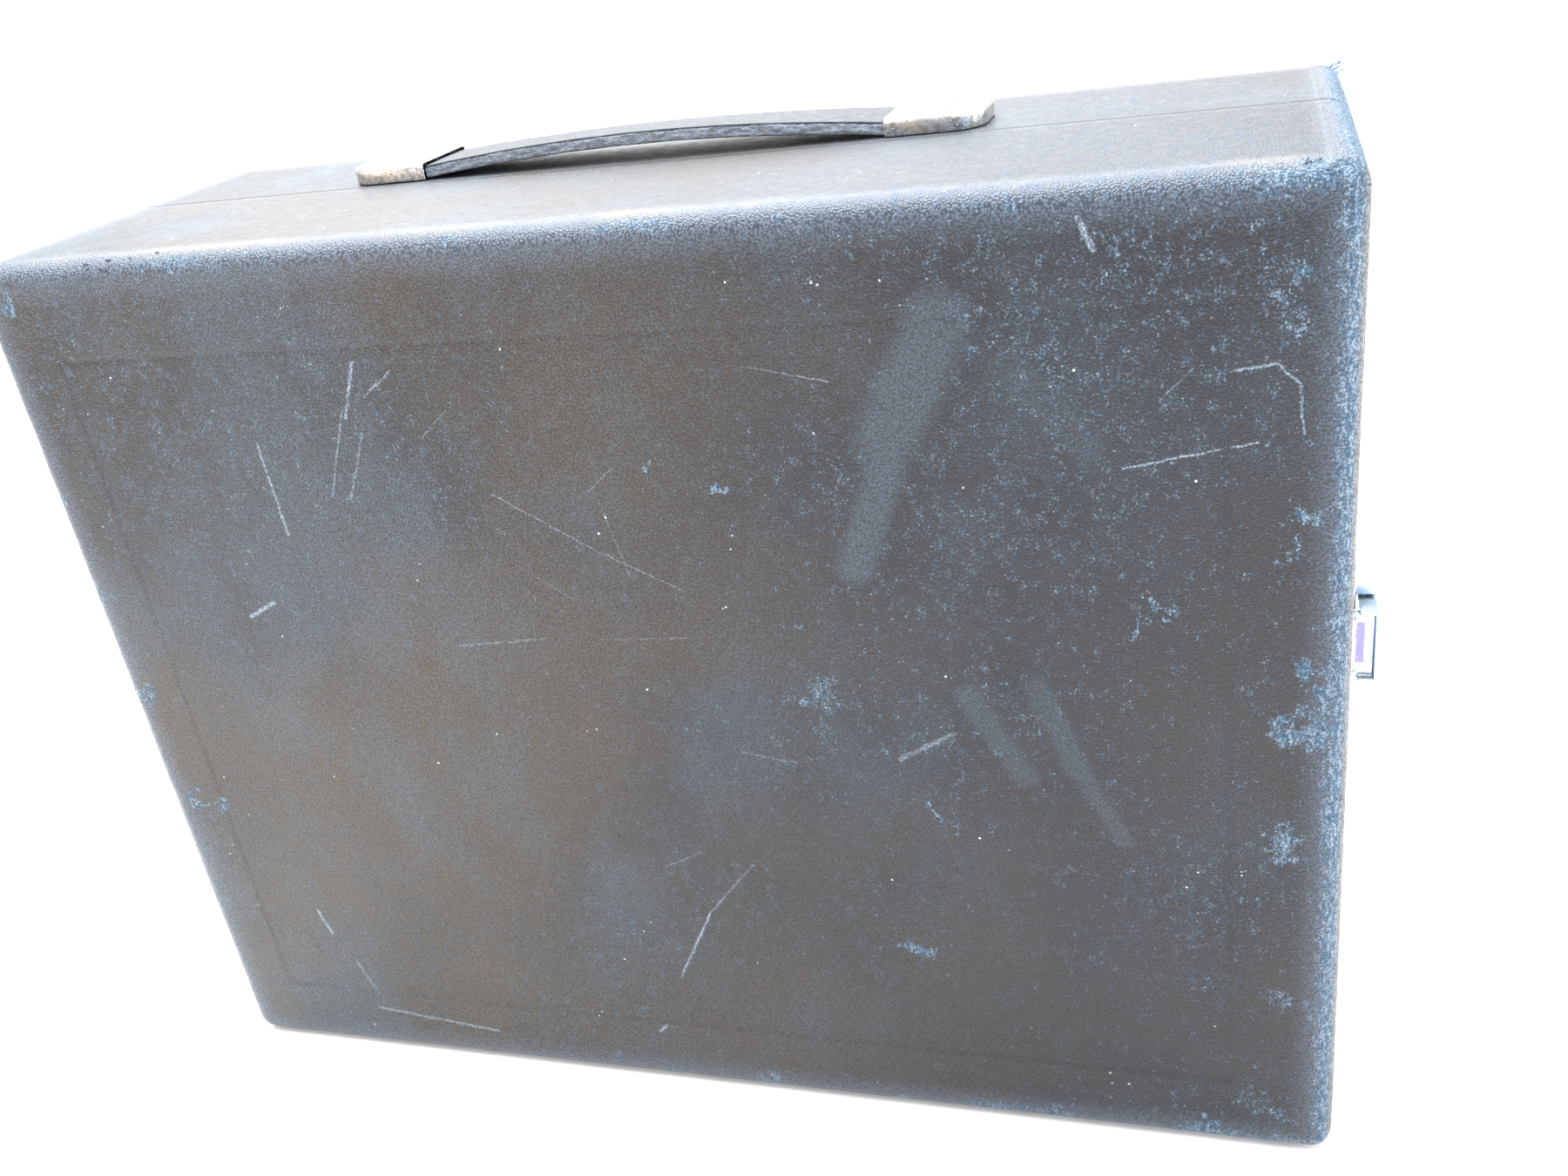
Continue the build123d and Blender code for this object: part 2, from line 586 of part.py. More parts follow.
def hasp_plate():
    """The plate on the lid that carries the hasp's pin."""
    plate = span((RIGHT, RIGHT + PLATE), (HASP_PLATE_EDGE, HASP_AXIS_Y), HASP_Z)
    arm_y = (HASP_AXIS_Y - HASP_KNUCKLE_RADIUS, HASP_AXIS_Y)
    for low, high in hasp_knuckle_spans()[::2]:
        plate = plate + rod(HASP_KNUCKLE_RADIUS, (HASP_AXIS_X, HASP_AXIS_Y, low), high - low)
        plate = plate + span((RIGHT, HASP_AXIS_X), arm_y, (low, high))
    plate = plate - hasp_pin()
    return with_holes(plate, [tack_hole(1, PLATE_FACE, y, z) for y, z in hasp_tacks()])


def hasp_pin():
    """The pin that the hasp swings on."""
    return rod(HASP_PIN_RADIUS, (HASP_AXIS_X, HASP_AXIS_Y, HASP_Z[0]), HASP_Z[1] - HASP_Z[0])


def lock():
    """The lock on the body, and the hasp on the lid."""
    base_z = (HOUSING_Z[0] - LOCK_PLATE_MARGIN, HOUSING_Z[1] + LOCK_PLATE_MARGIN)
    base = span((RIGHT, RIGHT + PLATE), LOCK_PLATE_Y, base_z)
    return {
        "lock_plate": with_holes(base, [tack_hole(1, PLATE_FACE, y, z) for y, z in lock_tacks()]),
        "lock_housing": lock_housing(),
        "lock_tacks": tacks(1, PLATE_FACE, lock_tacks()),
        "lock_slider": lock_slider(),
        "slider_spring": slider_spring(),
        "hasp": hasp(),
        "hasp_plate": hasp_plate(),
        "hasp_pin": hasp_pin(),
        "hasp_tacks": tacks(1, PLATE_FACE, hasp_tacks()),
    }


# ---- write one file for each part ------------------------------------------

def main():
    os.makedirs("parts", exist_ok=True)
    parts = {**trays(), **handle(), **hinges(), **lock()}
    for name, shape in parts.items():
        export_step(shape, "parts/" + name + ".step")


main()
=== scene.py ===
"""Looks for a leathercloth carrying case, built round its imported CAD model.

Metres. +X to the right, +Y from the lid to the body, +Z up.
The lid's big face looks towards -Y, and the case stands on Z = 0.
"""

import json
import math
import random

import bmesh
import bpy
import numpy as np
from mathutils import Matrix, Vector, noise


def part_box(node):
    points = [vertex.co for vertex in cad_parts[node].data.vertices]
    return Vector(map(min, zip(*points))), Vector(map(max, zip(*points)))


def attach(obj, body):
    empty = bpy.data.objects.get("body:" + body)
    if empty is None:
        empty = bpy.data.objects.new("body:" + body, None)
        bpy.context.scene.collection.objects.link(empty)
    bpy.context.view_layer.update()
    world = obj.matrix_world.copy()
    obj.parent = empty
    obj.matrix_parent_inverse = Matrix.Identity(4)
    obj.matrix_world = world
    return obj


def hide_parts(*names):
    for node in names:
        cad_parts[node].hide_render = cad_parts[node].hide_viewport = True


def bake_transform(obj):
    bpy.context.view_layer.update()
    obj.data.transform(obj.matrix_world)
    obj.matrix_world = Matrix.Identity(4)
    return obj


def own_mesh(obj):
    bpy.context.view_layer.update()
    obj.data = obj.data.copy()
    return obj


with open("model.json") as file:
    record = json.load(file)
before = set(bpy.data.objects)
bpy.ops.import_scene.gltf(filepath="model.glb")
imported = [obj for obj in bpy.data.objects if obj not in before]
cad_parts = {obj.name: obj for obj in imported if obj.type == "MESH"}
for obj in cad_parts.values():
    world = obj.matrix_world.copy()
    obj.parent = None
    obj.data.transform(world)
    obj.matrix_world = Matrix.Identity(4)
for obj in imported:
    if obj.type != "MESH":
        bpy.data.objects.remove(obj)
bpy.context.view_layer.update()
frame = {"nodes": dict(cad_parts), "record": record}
SLOTS = {entry["node"]: entry["material_slot"] for entry in frame["record"]["subparts"]}

MM = 0.001


# ---- sizes, and places read from the frame ------------------------------------

# How far each covering swells past its tray at the mouth, and how far its outer edge sets back there.
MOUTH_SWELL = 0.13 * MM
MOUTH_SETBACK = 0.05 * MM
EDGE_RADIUS = 6.5 * MM
COVER_THICKNESS = 0.55 * MM
LINING_THICKNESS = 0.35 * MM
# Half the width of the grooves where the framed panel's joints show through the lid's covering.
JOINT_HALF_WIDTH = 1.3 * MM

STRAP_THICKNESS = 3.8 * MM
# The strap is made this much thicker, downwards, before its faces are worn in.
STRAP_SWELL = 0.2 * MM
# How much lower the strap's rear edge is, midway between the caps.
STRAP_LEAN = 1.4 * MM
STRAP_CORNER = 0.9 * MM
BAND_THICKNESS = 0.8 * MM
BAND_CORNER = 0.2 * MM
BOLT_HEAD_RADIUS = 4.4 * MM
# The rust round a bolt head starts over the first two radii and ends over the last two.
RUST_RADII = (4.2 * MM, 4.5 * MM, 4.9 * MM, 5.3 * MM)
BEVEL_ANGLE = 35.0

THREAD_COUNT = 22
FLAKE_COUNT = 26
CORNER_FLAKES = 18


def outer_box(*nodes):
    """Lowest and highest corner of several CAD nodes together."""
    boxes = [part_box(node) for node in nodes]
    low = Vector([min(box[0][i] for box in boxes) for i in range(3)])
    high = Vector([max(box[1][i] for box in boxes) for i in range(3)])
    return low, high


LID_LOW, LID_HIGH = outer_box("lid_edge_covering", "lid_face_covering")
BODY_LOW, BODY_HIGH = outer_box("body_edge_covering", "body_face_covering")
LID_HIGH.y += MOUTH_SWELL
BODY_LOW.y -= MOUTH_SWELL
CASE_LOW = LID_LOW
CASE_HIGH = BODY_HIGH
INNER_LOW, INNER_HIGH = outer_box("lid_lining", "body_lining")
INFILL_LOW, INFILL_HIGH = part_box("lid_panel_infill")
SEAM_X = LID_HIGH.x - 9 * MM
STRAP_LOW, STRAP_HIGH = outer_box("strap_tail_left", "strap_grip", "strap_tail_right")
STRAP_MIDDLE = (STRAP_LOW + STRAP_HIGH) / 2
STRAP_WIDTH = STRAP_HIGH.y - STRAP_LOW.y
STRAP_LENGTH = STRAP_HIGH.x - STRAP_LOW.x
STRAP_RISE = STRAP_HIGH.z - STRAP_THICKNESS - STRAP_LOW.z
CAP_MOUTH = STRAP_MIDDLE.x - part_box("handle_cap_left")[1].x
BOLTS_LOW, BOLTS_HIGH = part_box("handle_bolts")
BOLT_XS = (BOLTS_LOW.x + BOLT_HEAD_RADIUS, BOLTS_HIGH.x - BOLT_HEAD_RADIUS)


def arch(x):
    """The strap's arch at x: 1 in its middle, 0 at the mouths of the caps and inside them."""
    return 1 - min(abs(x - STRAP_MIDDLE.x) / CAP_MOUTH, 1.0) ** 2


def strap_centre(x):
    """Height of the strap's middle line at x: level inside the caps, arched between them."""
    return STRAP_LOW.z + STRAP_RISE * arch(x) + (STRAP_THICKNESS - STRAP_SWELL) / 2


# ---- material building blocks -----------------------------------------------

class Nodes:
    """A short way to write a material's node tree."""

    def __init__(self, name):
        self.material = bpy.data.materials.new(name)
        self.material.use_nodes = True
        self.tree = self.material.node_tree
        self.shader = self.tree.nodes["Principled BSDF"]
        self.place = self.add("ShaderNodeTexCoord").outputs["Object"]

    def xyz(self):
        """The place's three coordinates, each as a socket."""
        split = self.add("ShaderNodeSeparateXYZ")
        self.plug(split.inputs[0], self.place)
        return split.outputs

    def add(self, kind, **settings):
        node = self.tree.nodes.new(kind)
        for name, value in settings.items():
            setattr(node, name, value)
        return node

    def plug(self, socket, value):
        """Gives an input a link or a constant."""
        if isinstance(value, bpy.types.NodeSocket):
            self.tree.links.new(value, socket)
        elif value is not None:
            socket.default_value = value

    def math(self, operation, a, b=None, clamp=False):
        node = self.add("ShaderNodeMath", operation=operation, use_clamp=clamp)
        self.plug(node.inputs[0], a)
        self.plug(node.inputs[1], b)
        return node.outputs[0]

    def plus(self, a, b, clamp=False):
        return self.math("ADD", a, b, clamp)

    def times(self, a, b):
        return self.math("MULTIPLY", a, b)

    def vector(self, operation, a, b=None, scale=None):
        node = self.add("ShaderNodeVectorMath", operation=operation)
        self.plug(node.inputs[0], a)
        self.plug(node.inputs[1], b)
        if scale is not None:
            self.plug(node.inputs["Scale"], scale)
        return node.outputs["Value" if operation in ("LENGTH", "DOT_PRODUCT", "DISTANCE") else "Vector"]

    def ramp(self, value, low, high, to_low=0.0, to_high=1.0):
        """Maps low..high smoothly to to_low..to_high, clamped. low may be the larger."""
        node = self.add("ShaderNodeMapRange", interpolation_type="SMOOTHSTEP")
        for socket, number in zip(node.inputs[:5], (value, low, high, to_low, to_high)):
            self.plug(socket, number)
        return node.outputs[0]

    def noise(self, scale, detail=4.0, roughness=0.55, stretch=None, offset=None):
        """Noise in the object's own space, scale in features per metre."""
        place = self.place
        if stretch is not None:
            place = self.vector("MULTIPLY", place, stretch)
        if offset is not None:
            place = self.vector("ADD", place, offset)
        node = self.add("ShaderNodeTexNoise")
        self.plug(node.inputs["Vector"], place)
        node.inputs["Scale"].default_value = scale
        node.inputs["Detail"].default_value = detail
        node.inputs["Roughness"].default_value = roughness
        return node.outputs["Fac"]

    def cells(self, scale):
        """Distance to the nearest of many scattered points, scale in points per metre."""
        node = self.add("ShaderNodeTexVoronoi")
        self.plug(node.inputs["Vector"], self.place)
        node.inputs["Scale"].default_value = scale
        return node.outputs["Distance"]

    def mix(self, factor, a, b):
        """Blends two colours."""
        node = self.add("ShaderNodeMix", data_type="RGBA")
        self.plug(node.inputs["Factor"], factor)
        self.plug(node.inputs["A"], a)
        self.plug(node.inputs["B"], b)
        return node.outputs["Result"]

    def bump(self, height, distance, strength, below=None):
        node = self.add("ShaderNodeBump")
        node.inputs["Strength"].default_value = strength
        node.inputs["Distance"].default_value = distance
        self.plug(node.inputs["Height"], height)
        self.plug(node.inputs["Normal"], below)
        return node.outputs["Normal"]

    def finish(self, **inputs):
        for name, value in inputs.items():
            self.plug(self.shader.inputs[name.replace("_", " ")], value)
        return self.material


def colour(red, green, blue):
    return (red, green, blue, 1.0)


# ---- camera, floor and light --------------------------------------------------

CAMERA_PLACE = Vector((0.1641, -0.3982, 0.3615))
CAMERA_FORWARD = Vector((-0.3043, 0.8450, -0.4397))
CAMERA_UP = Vector((-0.0052, 0.4601, 0.8878))
CAMERA_LENS_MM = 33.08
SENSOR_MM = 36.0


def add_camera():
    data = bpy.data.cameras.new("camera")
    data.lens = CAMERA_LENS_MM
    data.sensor_width = SENSOR_MM
    data.clip_start = 0.01
    camera = bpy.data.objects.new("camera", data)
    bpy.context.scene.collection.objects.link(camera)
    back = -CAMERA_FORWARD.normalized()
    right = CAMERA_UP.cross(back).normalized()
    up = back.cross(right)
    turn = Matrix((right, up, back)).transposed().to_4x4()
    camera.matrix_world = Matrix.Translation(CAMERA_PLACE) @ turn
    bpy.context.scene.camera = camera


def add_floor():
    size = 6.0
    mesh = bpy.data.meshes.new("floor")
    corners = [(-size, -size, 0), (size, -size, 0), (size, size, 0), (-size, size, 0)]
    mesh.from_pydata(corners, [], [(0, 1, 2, 3)])
    floor = bpy.data.objects.new("floor", mesh)
    bpy.context.scene.collection.objects.link(floor)
    paint = Nodes("pale_floor")
    grain = paint.noise(6.0, stretch=(1.0, 14.0, 1.0))
    tone = paint.mix(grain, colour(0.95, 0.93, 0.90), colour(0.97, 0.95, 0.93))
    mesh.materials.append(paint.finish(Base_Color=tone, Roughness=0.6))


def add_area_light(name, place, aim, size, power, tint):
    data = bpy.data.lights.new(name, "AREA")
    data.shape = "RECTANGLE"
    data.size, data.size_y = size
    data.energy = power
    data.color = tint
    light = bpy.data.objects.new(name, data)
    bpy.context.scene.collection.objects.link(light)
    light.location = place
    direction = Vector(aim) - Vector(place)
    light.rotation_euler = direction.to_track_quat("-Z", "Y").to_euler()
    light.visible_camera = False


def add_lights():
    world = bpy.data.worlds.new("studio")
    bpy.context.scene.world = world
    world.use_nodes = True
    sky = world.node_tree.nodes["Background"]
    sky.inputs["Color"].default_value = colour(1.0, 0.98, 0.96)
    sky.inputs["Strength"].default_value = 1.17
    add_area_light("window_behind", (-0.7, 2.0, 1.15), (0, 0, 0.25), (2.6, 1.4), 40, (0.97, 0.98, 1.0))
    add_area_light("overhead", (-0.3, 0.3, 1.7), (0, 0, 0.2), (2.2, 2.0), 185, (0.90, 0.95, 1.0))
    add_area_light("warm_left", (-1.2, -1.1, 0.3), (0, 0, 0.1), (0.9, 0.7), 9, (1.0, 0.68, 0.42))
    add_area_light("cool_right", (1.2, -1.0, 0.5), (0, 0, 0.15), (0.8, 0.7), 8, (0.38, 0.62, 1.0))
    add_area_light("right_side", (1.6, 0.1, 0.6), (0, 0, 0.15), (1.2, 1.0), 26, (1.0, 0.97, 0.92))


# ---- leathercloth ---------------------------------------------------------------

# Marks on the lid's big face, in millimetres right and up from its lower left corner:
# (start, end, width, strength).
SCRATCHES = [
    ((82, 236), (83, 207), 1.42, 1.0),
    ((121, 259), (114, 243), 1.56, 0.9),
    ((114, 246), (102, 219), 1.14, 0.55),
    ((118, 238), (108, 218), 1.28, 0.5),
    ((132, 256), (122, 249), 1.21, 0.8),
    ((146, 244), (136, 236), 0.93, 0.4),
    ((154, 219), (181, 202), 0.86, 1.0),
    ((181, 202), (206, 189), 0.79, 0.9),
    ((186, 216), (191, 193), 0.79, 0.7),
    ((192, 226), (183, 219), 0.93, 0.6),
    ((156, 197), (173, 185), 0.86, 0.6),
    ((131, 170), (160, 173), 1.0, 0.45),
    ((178, 173), (206, 174), 0.86, 0.35),
    ((212, 95), (195, 75), 1.0, 0.6),
    ((195, 75), (180, 47), 1.35, 1.0),
    ((183, 92), (197, 99), 0.93, 0.55),
    ((326, 223), (357, 229), 1.0, 0.9),
    ((352, 247), (361, 248), 1.07, 0.8),
    ((361, 248), (366, 243), 1.0, 0.8),
    ((366, 243), (367, 231), 1.0, 0.7),
    ((233, 253), (255, 248), 0.93, 0.8),
    ((335, 240), (343, 248), 0.86, 0.5),
    ((60, 179), (70, 184), 1.98, 0.9),
    ((46, 62), (49, 52), 1.84, 0.8),
    ((55, 40), (60, 26), 1.42, 0.6),
    ((171, 25), (168, 22), 1.56, 0.8),
    ((215, 136), (231, 133), 1.14, 0.5),
    ((262, 136), (278, 145), 2.12, 0.45),
    ((58, 19), (105, 14), 1.7, 0.7),
    ((318, 284), (321, 277), 2.12, 0.8),
]

# Patches of dense scuffing on the same face: (middle, radius, strength).
SCUFFS = [
    ((239, 155), 22, 0.62),
    ((222, 220), 5, 1.0),
    ((203, 228), 5, 0.8),
    ((263, 71), 6, 0.9),
    ((260, 72), 26, 0.4),
    ((17, 108), 9, 0.8),
    ((112, 172), 7, 0.5),
    ((287, 141), 3, 0.9),
    ((274, 120), 3, 1.0),
    ((333, 187), 3, 0.9),
    ((328, 181), 2.5, 0.9),
    ((288, 268), 8, 0.7),
    ((13, 280), 7, 1.0),
    ((12, 6), 5, 0.8),
    ((350, 160), 30, 0.4),
    ((340, 60), 40, 0.34),
    ((226, 140), 24, 0.4),
    ((372, 160), 9, 0.8),
    ((366, 262), 22, 0.6),
    ((300, 285), 24, 0.5),
    ((100, 182), 40, 0.2),
    ((290, 160), 60, 0.3),
    ((3, 221), 5, 0.9),
    ((3, 183), 7, 0.9),
    ((3, 150), 6, 0.8),
    ((20, 150), 4, 0.5),
    ((4, 60), 8, 0.6),
    ((150, 3), 12, 0.55),
    ((205, 2), 14, 0.75),
    ((250, 3), 10, 0.8),
    ((300, 2), 16, 0.75),
    ((340, 4), 12, 0.8),
    ((366, 204), 13, 0.7),
    ((370, 150), 11, 0.8),
    ((366, 112), 15, 0.7),
    ((368, 60), 13, 0.6),
    ((362, 18), 18, 0.6),
    ((330, 272), 16, 0.55),
    ((255, 270), 12, 0.45),
    ((60, 283), 10, 0.6),
]

# Dull films left on it by something wiped across: (start, end, width, strength).
FILMS = [
    ((284, 262), (268, 232), 22, 0.9),
    ((270, 232), (256, 196), 14, 0.9),
    ((283, 157), (297, 132), 10, 0.6),
    ((302, 160), (312, 134), 10, 0.6),
    ((312, 134), (323, 112), 7, 0.6),
    ((300, 250), (318, 228), 12, 0.3),
]

BLACK = colour(0.013, 0.013, 0.015)
BROWN_BLACK = colour(0.048, 0.034, 0.021)
# Darker blue-black for the right of the faces: painted cool shade.
COOL_SHADE_BLACK = colour(0.003, 0.005, 0.014)
BACKING_BLUE = colour(0.040, 0.092, 0.150)
BACKING_PALE = colour(0.170, 0.235, 0.305)
SCRATCH_PALE = colour(0.240, 0.300, 0.370)
# Paler blue along the edges: partly worn coating, partly a painted highlight on the rounded edges.
EDGE_BLUE_AND_HIGHLIGHT = colour(0.105, 0.140, 0.195)
MOTTLE_GREY = colour(0.086, 0.103, 0.125)
# Near-black for the creases of the grain: painted shade.
GRAIN_CREASE_SHADE = colour(0.006, 0.006, 0.007)
FILM_GREY = colour(0.054, 0.078, 0.104)
# Warm brown for low on the left of the faces: a painted reflection of the warm floor.
FLOOR_REFLECTION_BROWN = colour(0.085, 0.068, 0.048)
GLUE_TAN = colour(0.17, 0.140, 0.105)
DUST = colour(0.62, 0.62, 0.58)
STRAP_CORE = colour(0.175, 0.190, 0.215)
STRAP_FIBRE = colour(0.33, 0.38, 0.45)
STRAP_CHIP = colour(0.014, 0.016, 0.026)
# Dark line at the lower edge of the strap's sides: painted shade.
STRAP_LOWER_EDGE_SHADE = colour(0.010, 0.012, 0.022)
# Pale grey for the strap's underside: painted light under the arch.
STRAP_UNDERSIDE_LIGHT = colour(0.46, 0.46, 0.43)

# How strongly the case's edges and the listed scuffs wear through, on the scale of the speckle.
EDGE_WEAR = 0.44
SCUFF_WEAR = 0.46
# Scattered grain cells per metre.
GRAIN_CELLS = 1650.0


def strongest(paint, masks):
    """The largest of several masks at each point, taken one by one as their nodes are made."""
    result = 0.0
    for mask, strength in masks:
        result = paint.math("MAXIMUM", result, paint.times(mask, strength))
    return result


def on_face(point):
    """A point on the lid's big face, from millimetres off its lower left corner."""
    return (LID_LOW.x + point[0] * MM, LID_LOW.y, LID_LOW.z + point[1] * MM)


def stroke(paint, place, start, end, width):
    """1 along the line from start to end on the lid's face, fading to 0 at half the width."""
    start, end = Vector(on_face(start)), Vector(on_face(end))
    along = end - start
    from_start = paint.vector("SUBTRACT", place, tuple(start))
    share = paint.vector("DOT_PRODUCT", from_start, tuple(along / along.length_squared))
    share = paint.plus(share, 0.0, clamp=True)  # no further than the line's two ends
    nearest = paint.vector("SCALE", tuple(along), scale=share)
    distance = paint.vector("DISTANCE", from_start, nearest)
    half = width * MM / 2
    return paint.ramp(distance, half, 0.35 * half)


def blotch(paint, place, middle, radius):
    """1 in the middle of a round patch on the lid's face, fading to 0 at its radius."""
    distance = paint.vector("DISTANCE", place, on_face(middle))
    return paint.ramp(distance, 1.15 * radius * MM, 0.0)


def wandering_place(paint, scale, reach):
    """The point being coloured, shifted at random by up to about reach, for marks with ragged edges."""
    wander = paint.add("ShaderNodeTexNoise")
    wander.inputs["Scale"].default_value = scale
    wander.inputs["Detail"].default_value = 5.0
    wander.inputs["Roughness"].default_value = 0.65
    paint.plug(wander.inputs["Vector"], paint.place)
    shift = paint.vector("SUBTRACT", wander.outputs["Color"], (0.5, 0.5, 0.5))
    shift = paint.vector("MULTIPLY", shift, (2 * reach, 0.0, 2 * reach))
    return paint.vector("ADD", paint.place, shift)


def tray_gaps(paint, place, low, high, closed_side):
    """How far the place is from the tray's sides along x, y and z. closed_side is -1 or 1 along y."""
    gaps = []
    for axis in range(3):
        to_low = paint.math("SUBTRACT", place[axis], low[axis])
        to_high = paint.math("SUBTRACT", high[axis], place[axis])
        if axis == 1:
            gaps.append(to_low if closed_side < 0 else to_high)
        else:
            gaps.append(paint.math("MINIMUM", to_low, to_high))
    return gaps


def edge_distance(paint, gaps):
    """The middle one of the three gaps, which on a box's surface is the distance to its nearest edge."""
    x, y, z = gaps
    smaller = paint.math("MINIMUM", x, y)
    larger = paint.math("MAXIMUM", x, y)
    return paint.math("MAXIMUM", smaller, paint.math("MINIMUM", larger, z))


def pebble_grain(paint):
    """Height of the pressed grain: small domes with creases between them."""
    return paint.ramp(paint.cells(GRAIN_CELLS), 0.80, 0.05)


def face_marks(paint):
    """Three masks for the marks on the lid's big face: scuffs, scratches and dull films."""
    ragged = wandering_place(paint, 320.0, 0.8 * MM)
    scattered = wandering_place(paint, 70.0, 22 * MM)
    scuffs = strongest(paint, ((blotch(paint, scattered, middle, radius), SCUFF_WEAR * strength)
                               for middle, radius, strength in SCUFFS))
    scratches = strongest(paint, ((stroke(paint, ragged, first, last, width), strength)
                                  for first, last, width, strength in SCRATCHES))
    films = strongest(paint, ((stroke(paint, ragged, first, last, width), strength)
                              for first, last, width, strength in FILMS))
    return scuffs, scratches, films


def glue_bands(paint, x, gaps, right, rubbed, medium):
    """Where tan glue shows: in patches along the tray's top and bottom, and down its right side."""
    level_band = paint.times(paint.ramp(gaps[2], 2.0 * MM, 0.5 * MM), paint.times(rubbed, 0.5))
    level_band = paint.times(level_band, paint.ramp(gaps[1], 14 * MM, 8 * MM))
    right_band = paint.ramp(x, right - 2.4 * MM, right - 1.0 * MM, 0.0, 0.75)
    right_band = paint.times(right_band, paint.ramp(gaps[1], 11 * MM, 3 * MM))
    right_band = paint.times(right_band, paint.ramp(medium, 0.30, 0.60, 0.45, 1.0))
    return paint.math("MAXIMUM", level_band, right_band)


def leathercloth(name, low, high, closed_side, marked=False):
    """Black coated cloth: pressed grain, worn to its blue backing at the edges and in speckles."""
    paint = Nodes(name)
    place = paint.xyz()
    x, z = place[0], place[2]
    gaps = tray_gaps(paint, place, low, high, closed_side)
    fine = paint.noise(1500.0, detail=3.0, roughness=0.7)
    medium = paint.noise(330.0, detail=6.0, roughness=0.72)
    weave = paint.noise(1000.0, detail=2.0, stretch=(1.0, 1.0, 0.4), offset=(3.1, 0.0, 0.0))
    drift = paint.noise(9.0, detail=3.0, offset=(0.4, 0.2, 0.7))
    speckle = paint.plus(paint.times(fine, 0.55), paint.times(medium, 0.45))

    # How far the coating has worn here, before the speckle breaks it up.
    near_edge = paint.ramp(edge_distance(paint, gaps), 14 * MM, 1 * MM)
    rubbed = paint.ramp(paint.noise(30.0, detail=5.0, roughness=0.65, offset=(5.7, 0.0, 2.0)), 0.45, 0.62)
    rightward = paint.ramp(x, 0.12, 0.185, 0.0, 0.85)
    edge = paint.times(near_edge, paint.math("MAXIMUM", rubbed, rightward))
    edge = paint.times(edge, paint.ramp(x, 0.0, 0.12, 0.75, 1.0))
    general = paint.ramp(drift, 0.36, 0.68, 0.140, 0.190)
    general = paint.plus(general, paint.ramp(x, 0.0, 0.15, 0.0, 0.02))
    tendency = paint.math("MAXIMUM", paint.times(edge, EDGE_WEAR), general)
    if marked:
        scuffs, scratches, films = face_marks(paint)
        tendency = paint.math("MAXIMUM", tendency, scuffs)
    worn = paint.ramp(paint.plus(speckle, tendency), 0.72, 0.84)
    if marked:
        scratches = paint.times(scratches, paint.ramp(speckle, 0.38, 0.54, 0.15, 1.0))
        worn = paint.times(worn, paint.ramp(films, 0.0, 1.0, 1.0, 0.25))

    # Colour: black coating, browner in places, with the backing showing through, and painted light on it:
    # a warm floor reflection low on the left, cool shade towards the right, a highlight along the edges
    # and shade in the grain's creases.
    brown_share, cool_shade_share = (1.0, 0.62) if marked else (0.5, 0.25)
    coat = paint.mix(paint.ramp(drift, 0.35, 0.65, brown_share, 0.0), BLACK, BROWN_BLACK)
    # Browner low on the left: a painted reflection of the warm floor.
    painted_floor_reflection = paint.times(paint.ramp(z, 0.11, 0.01, 0.0, 0.5), paint.ramp(x, 0.13, 0.0))
    coat = paint.mix(painted_floor_reflection, coat, FLOOR_REFLECTION_BROWN)
    clouds = paint.noise(24.0, detail=6.0, roughness=0.6, stretch=(1.0, 1.0, 0.6), offset=(0.0, 0.0, 4.0))
    coat = paint.mix(paint.ramp(clouds, 0.42, 0.66, 0.0, 0.45), coat, FILM_GREY)
    coat = paint.mix(paint.ramp(speckle, 0.43, 0.60, 0.0, 0.42), coat, MOTTLE_GREY)
    # Darker and bluer towards the right: painted cool shade.
    coat = paint.mix(paint.ramp(x, -0.10, 0.17, 0.0, cool_shade_share), coat, COOL_SHADE_BLACK)
    # Paler and bluer near the edges: partly worn coating, partly a painted highlight on the rounded edges.
    coat = paint.mix(paint.times(near_edge, 0.6), coat, EDGE_BLUE_AND_HIGHLIGHT)
    if marked:
        coat = paint.mix(paint.times(films, 0.65), coat, FILM_GREY)
    backing = paint.mix(paint.ramp(weave, 0.40, 0.62), BACKING_BLUE, BACKING_PALE)
    tone = paint.mix(worn, coat, backing)
    if marked:
        tone = paint.mix(scratches, tone, SCRATCH_PALE)
        tone = paint.mix(glue_bands(paint, x, gaps, high.x, rubbed, medium), tone, GLUE_TAN)
    chance = paint.ramp(paint.noise(90.0, detail=1.0, offset=(0.0, 5.0, 0.0)), 0.64, 0.70)
    specks = paint.times(paint.ramp(paint.cells(260.0), 0.12, 0.06), chance)
    tone = paint.mix(specks, tone, DUST)
    grain = pebble_grain(paint)
    # Darker in the grain's creases: painted shade.
    tone = paint.mix(paint.ramp(grain, 0.50, 0.18, 0.0, 0.6), tone, GRAIN_CREASE_SHADE)

    # Relief: the grain over slow unevenness.
    slow = paint.bump(paint.noise(45.0, detail=2.0), 0.9 * MM, 0.2)
    height = paint.plus(grain, paint.times(speckle, 0.6))
    normal = paint.bump(height, 0.17 * MM, 1.0, below=slow)
    roughness = paint.ramp(medium, 0.3, 0.7, 0.42, 0.56)
    roughness = paint.plus(roughness, paint.times(worn, 0.22), clamp=True)
    roughness = paint.math("SUBTRACT", roughness, paint.times(near_edge, 0.10))
    return paint.finish(Base_Color=tone, Roughness=roughness, Normal=normal, Specular_IOR_Level=0.34)


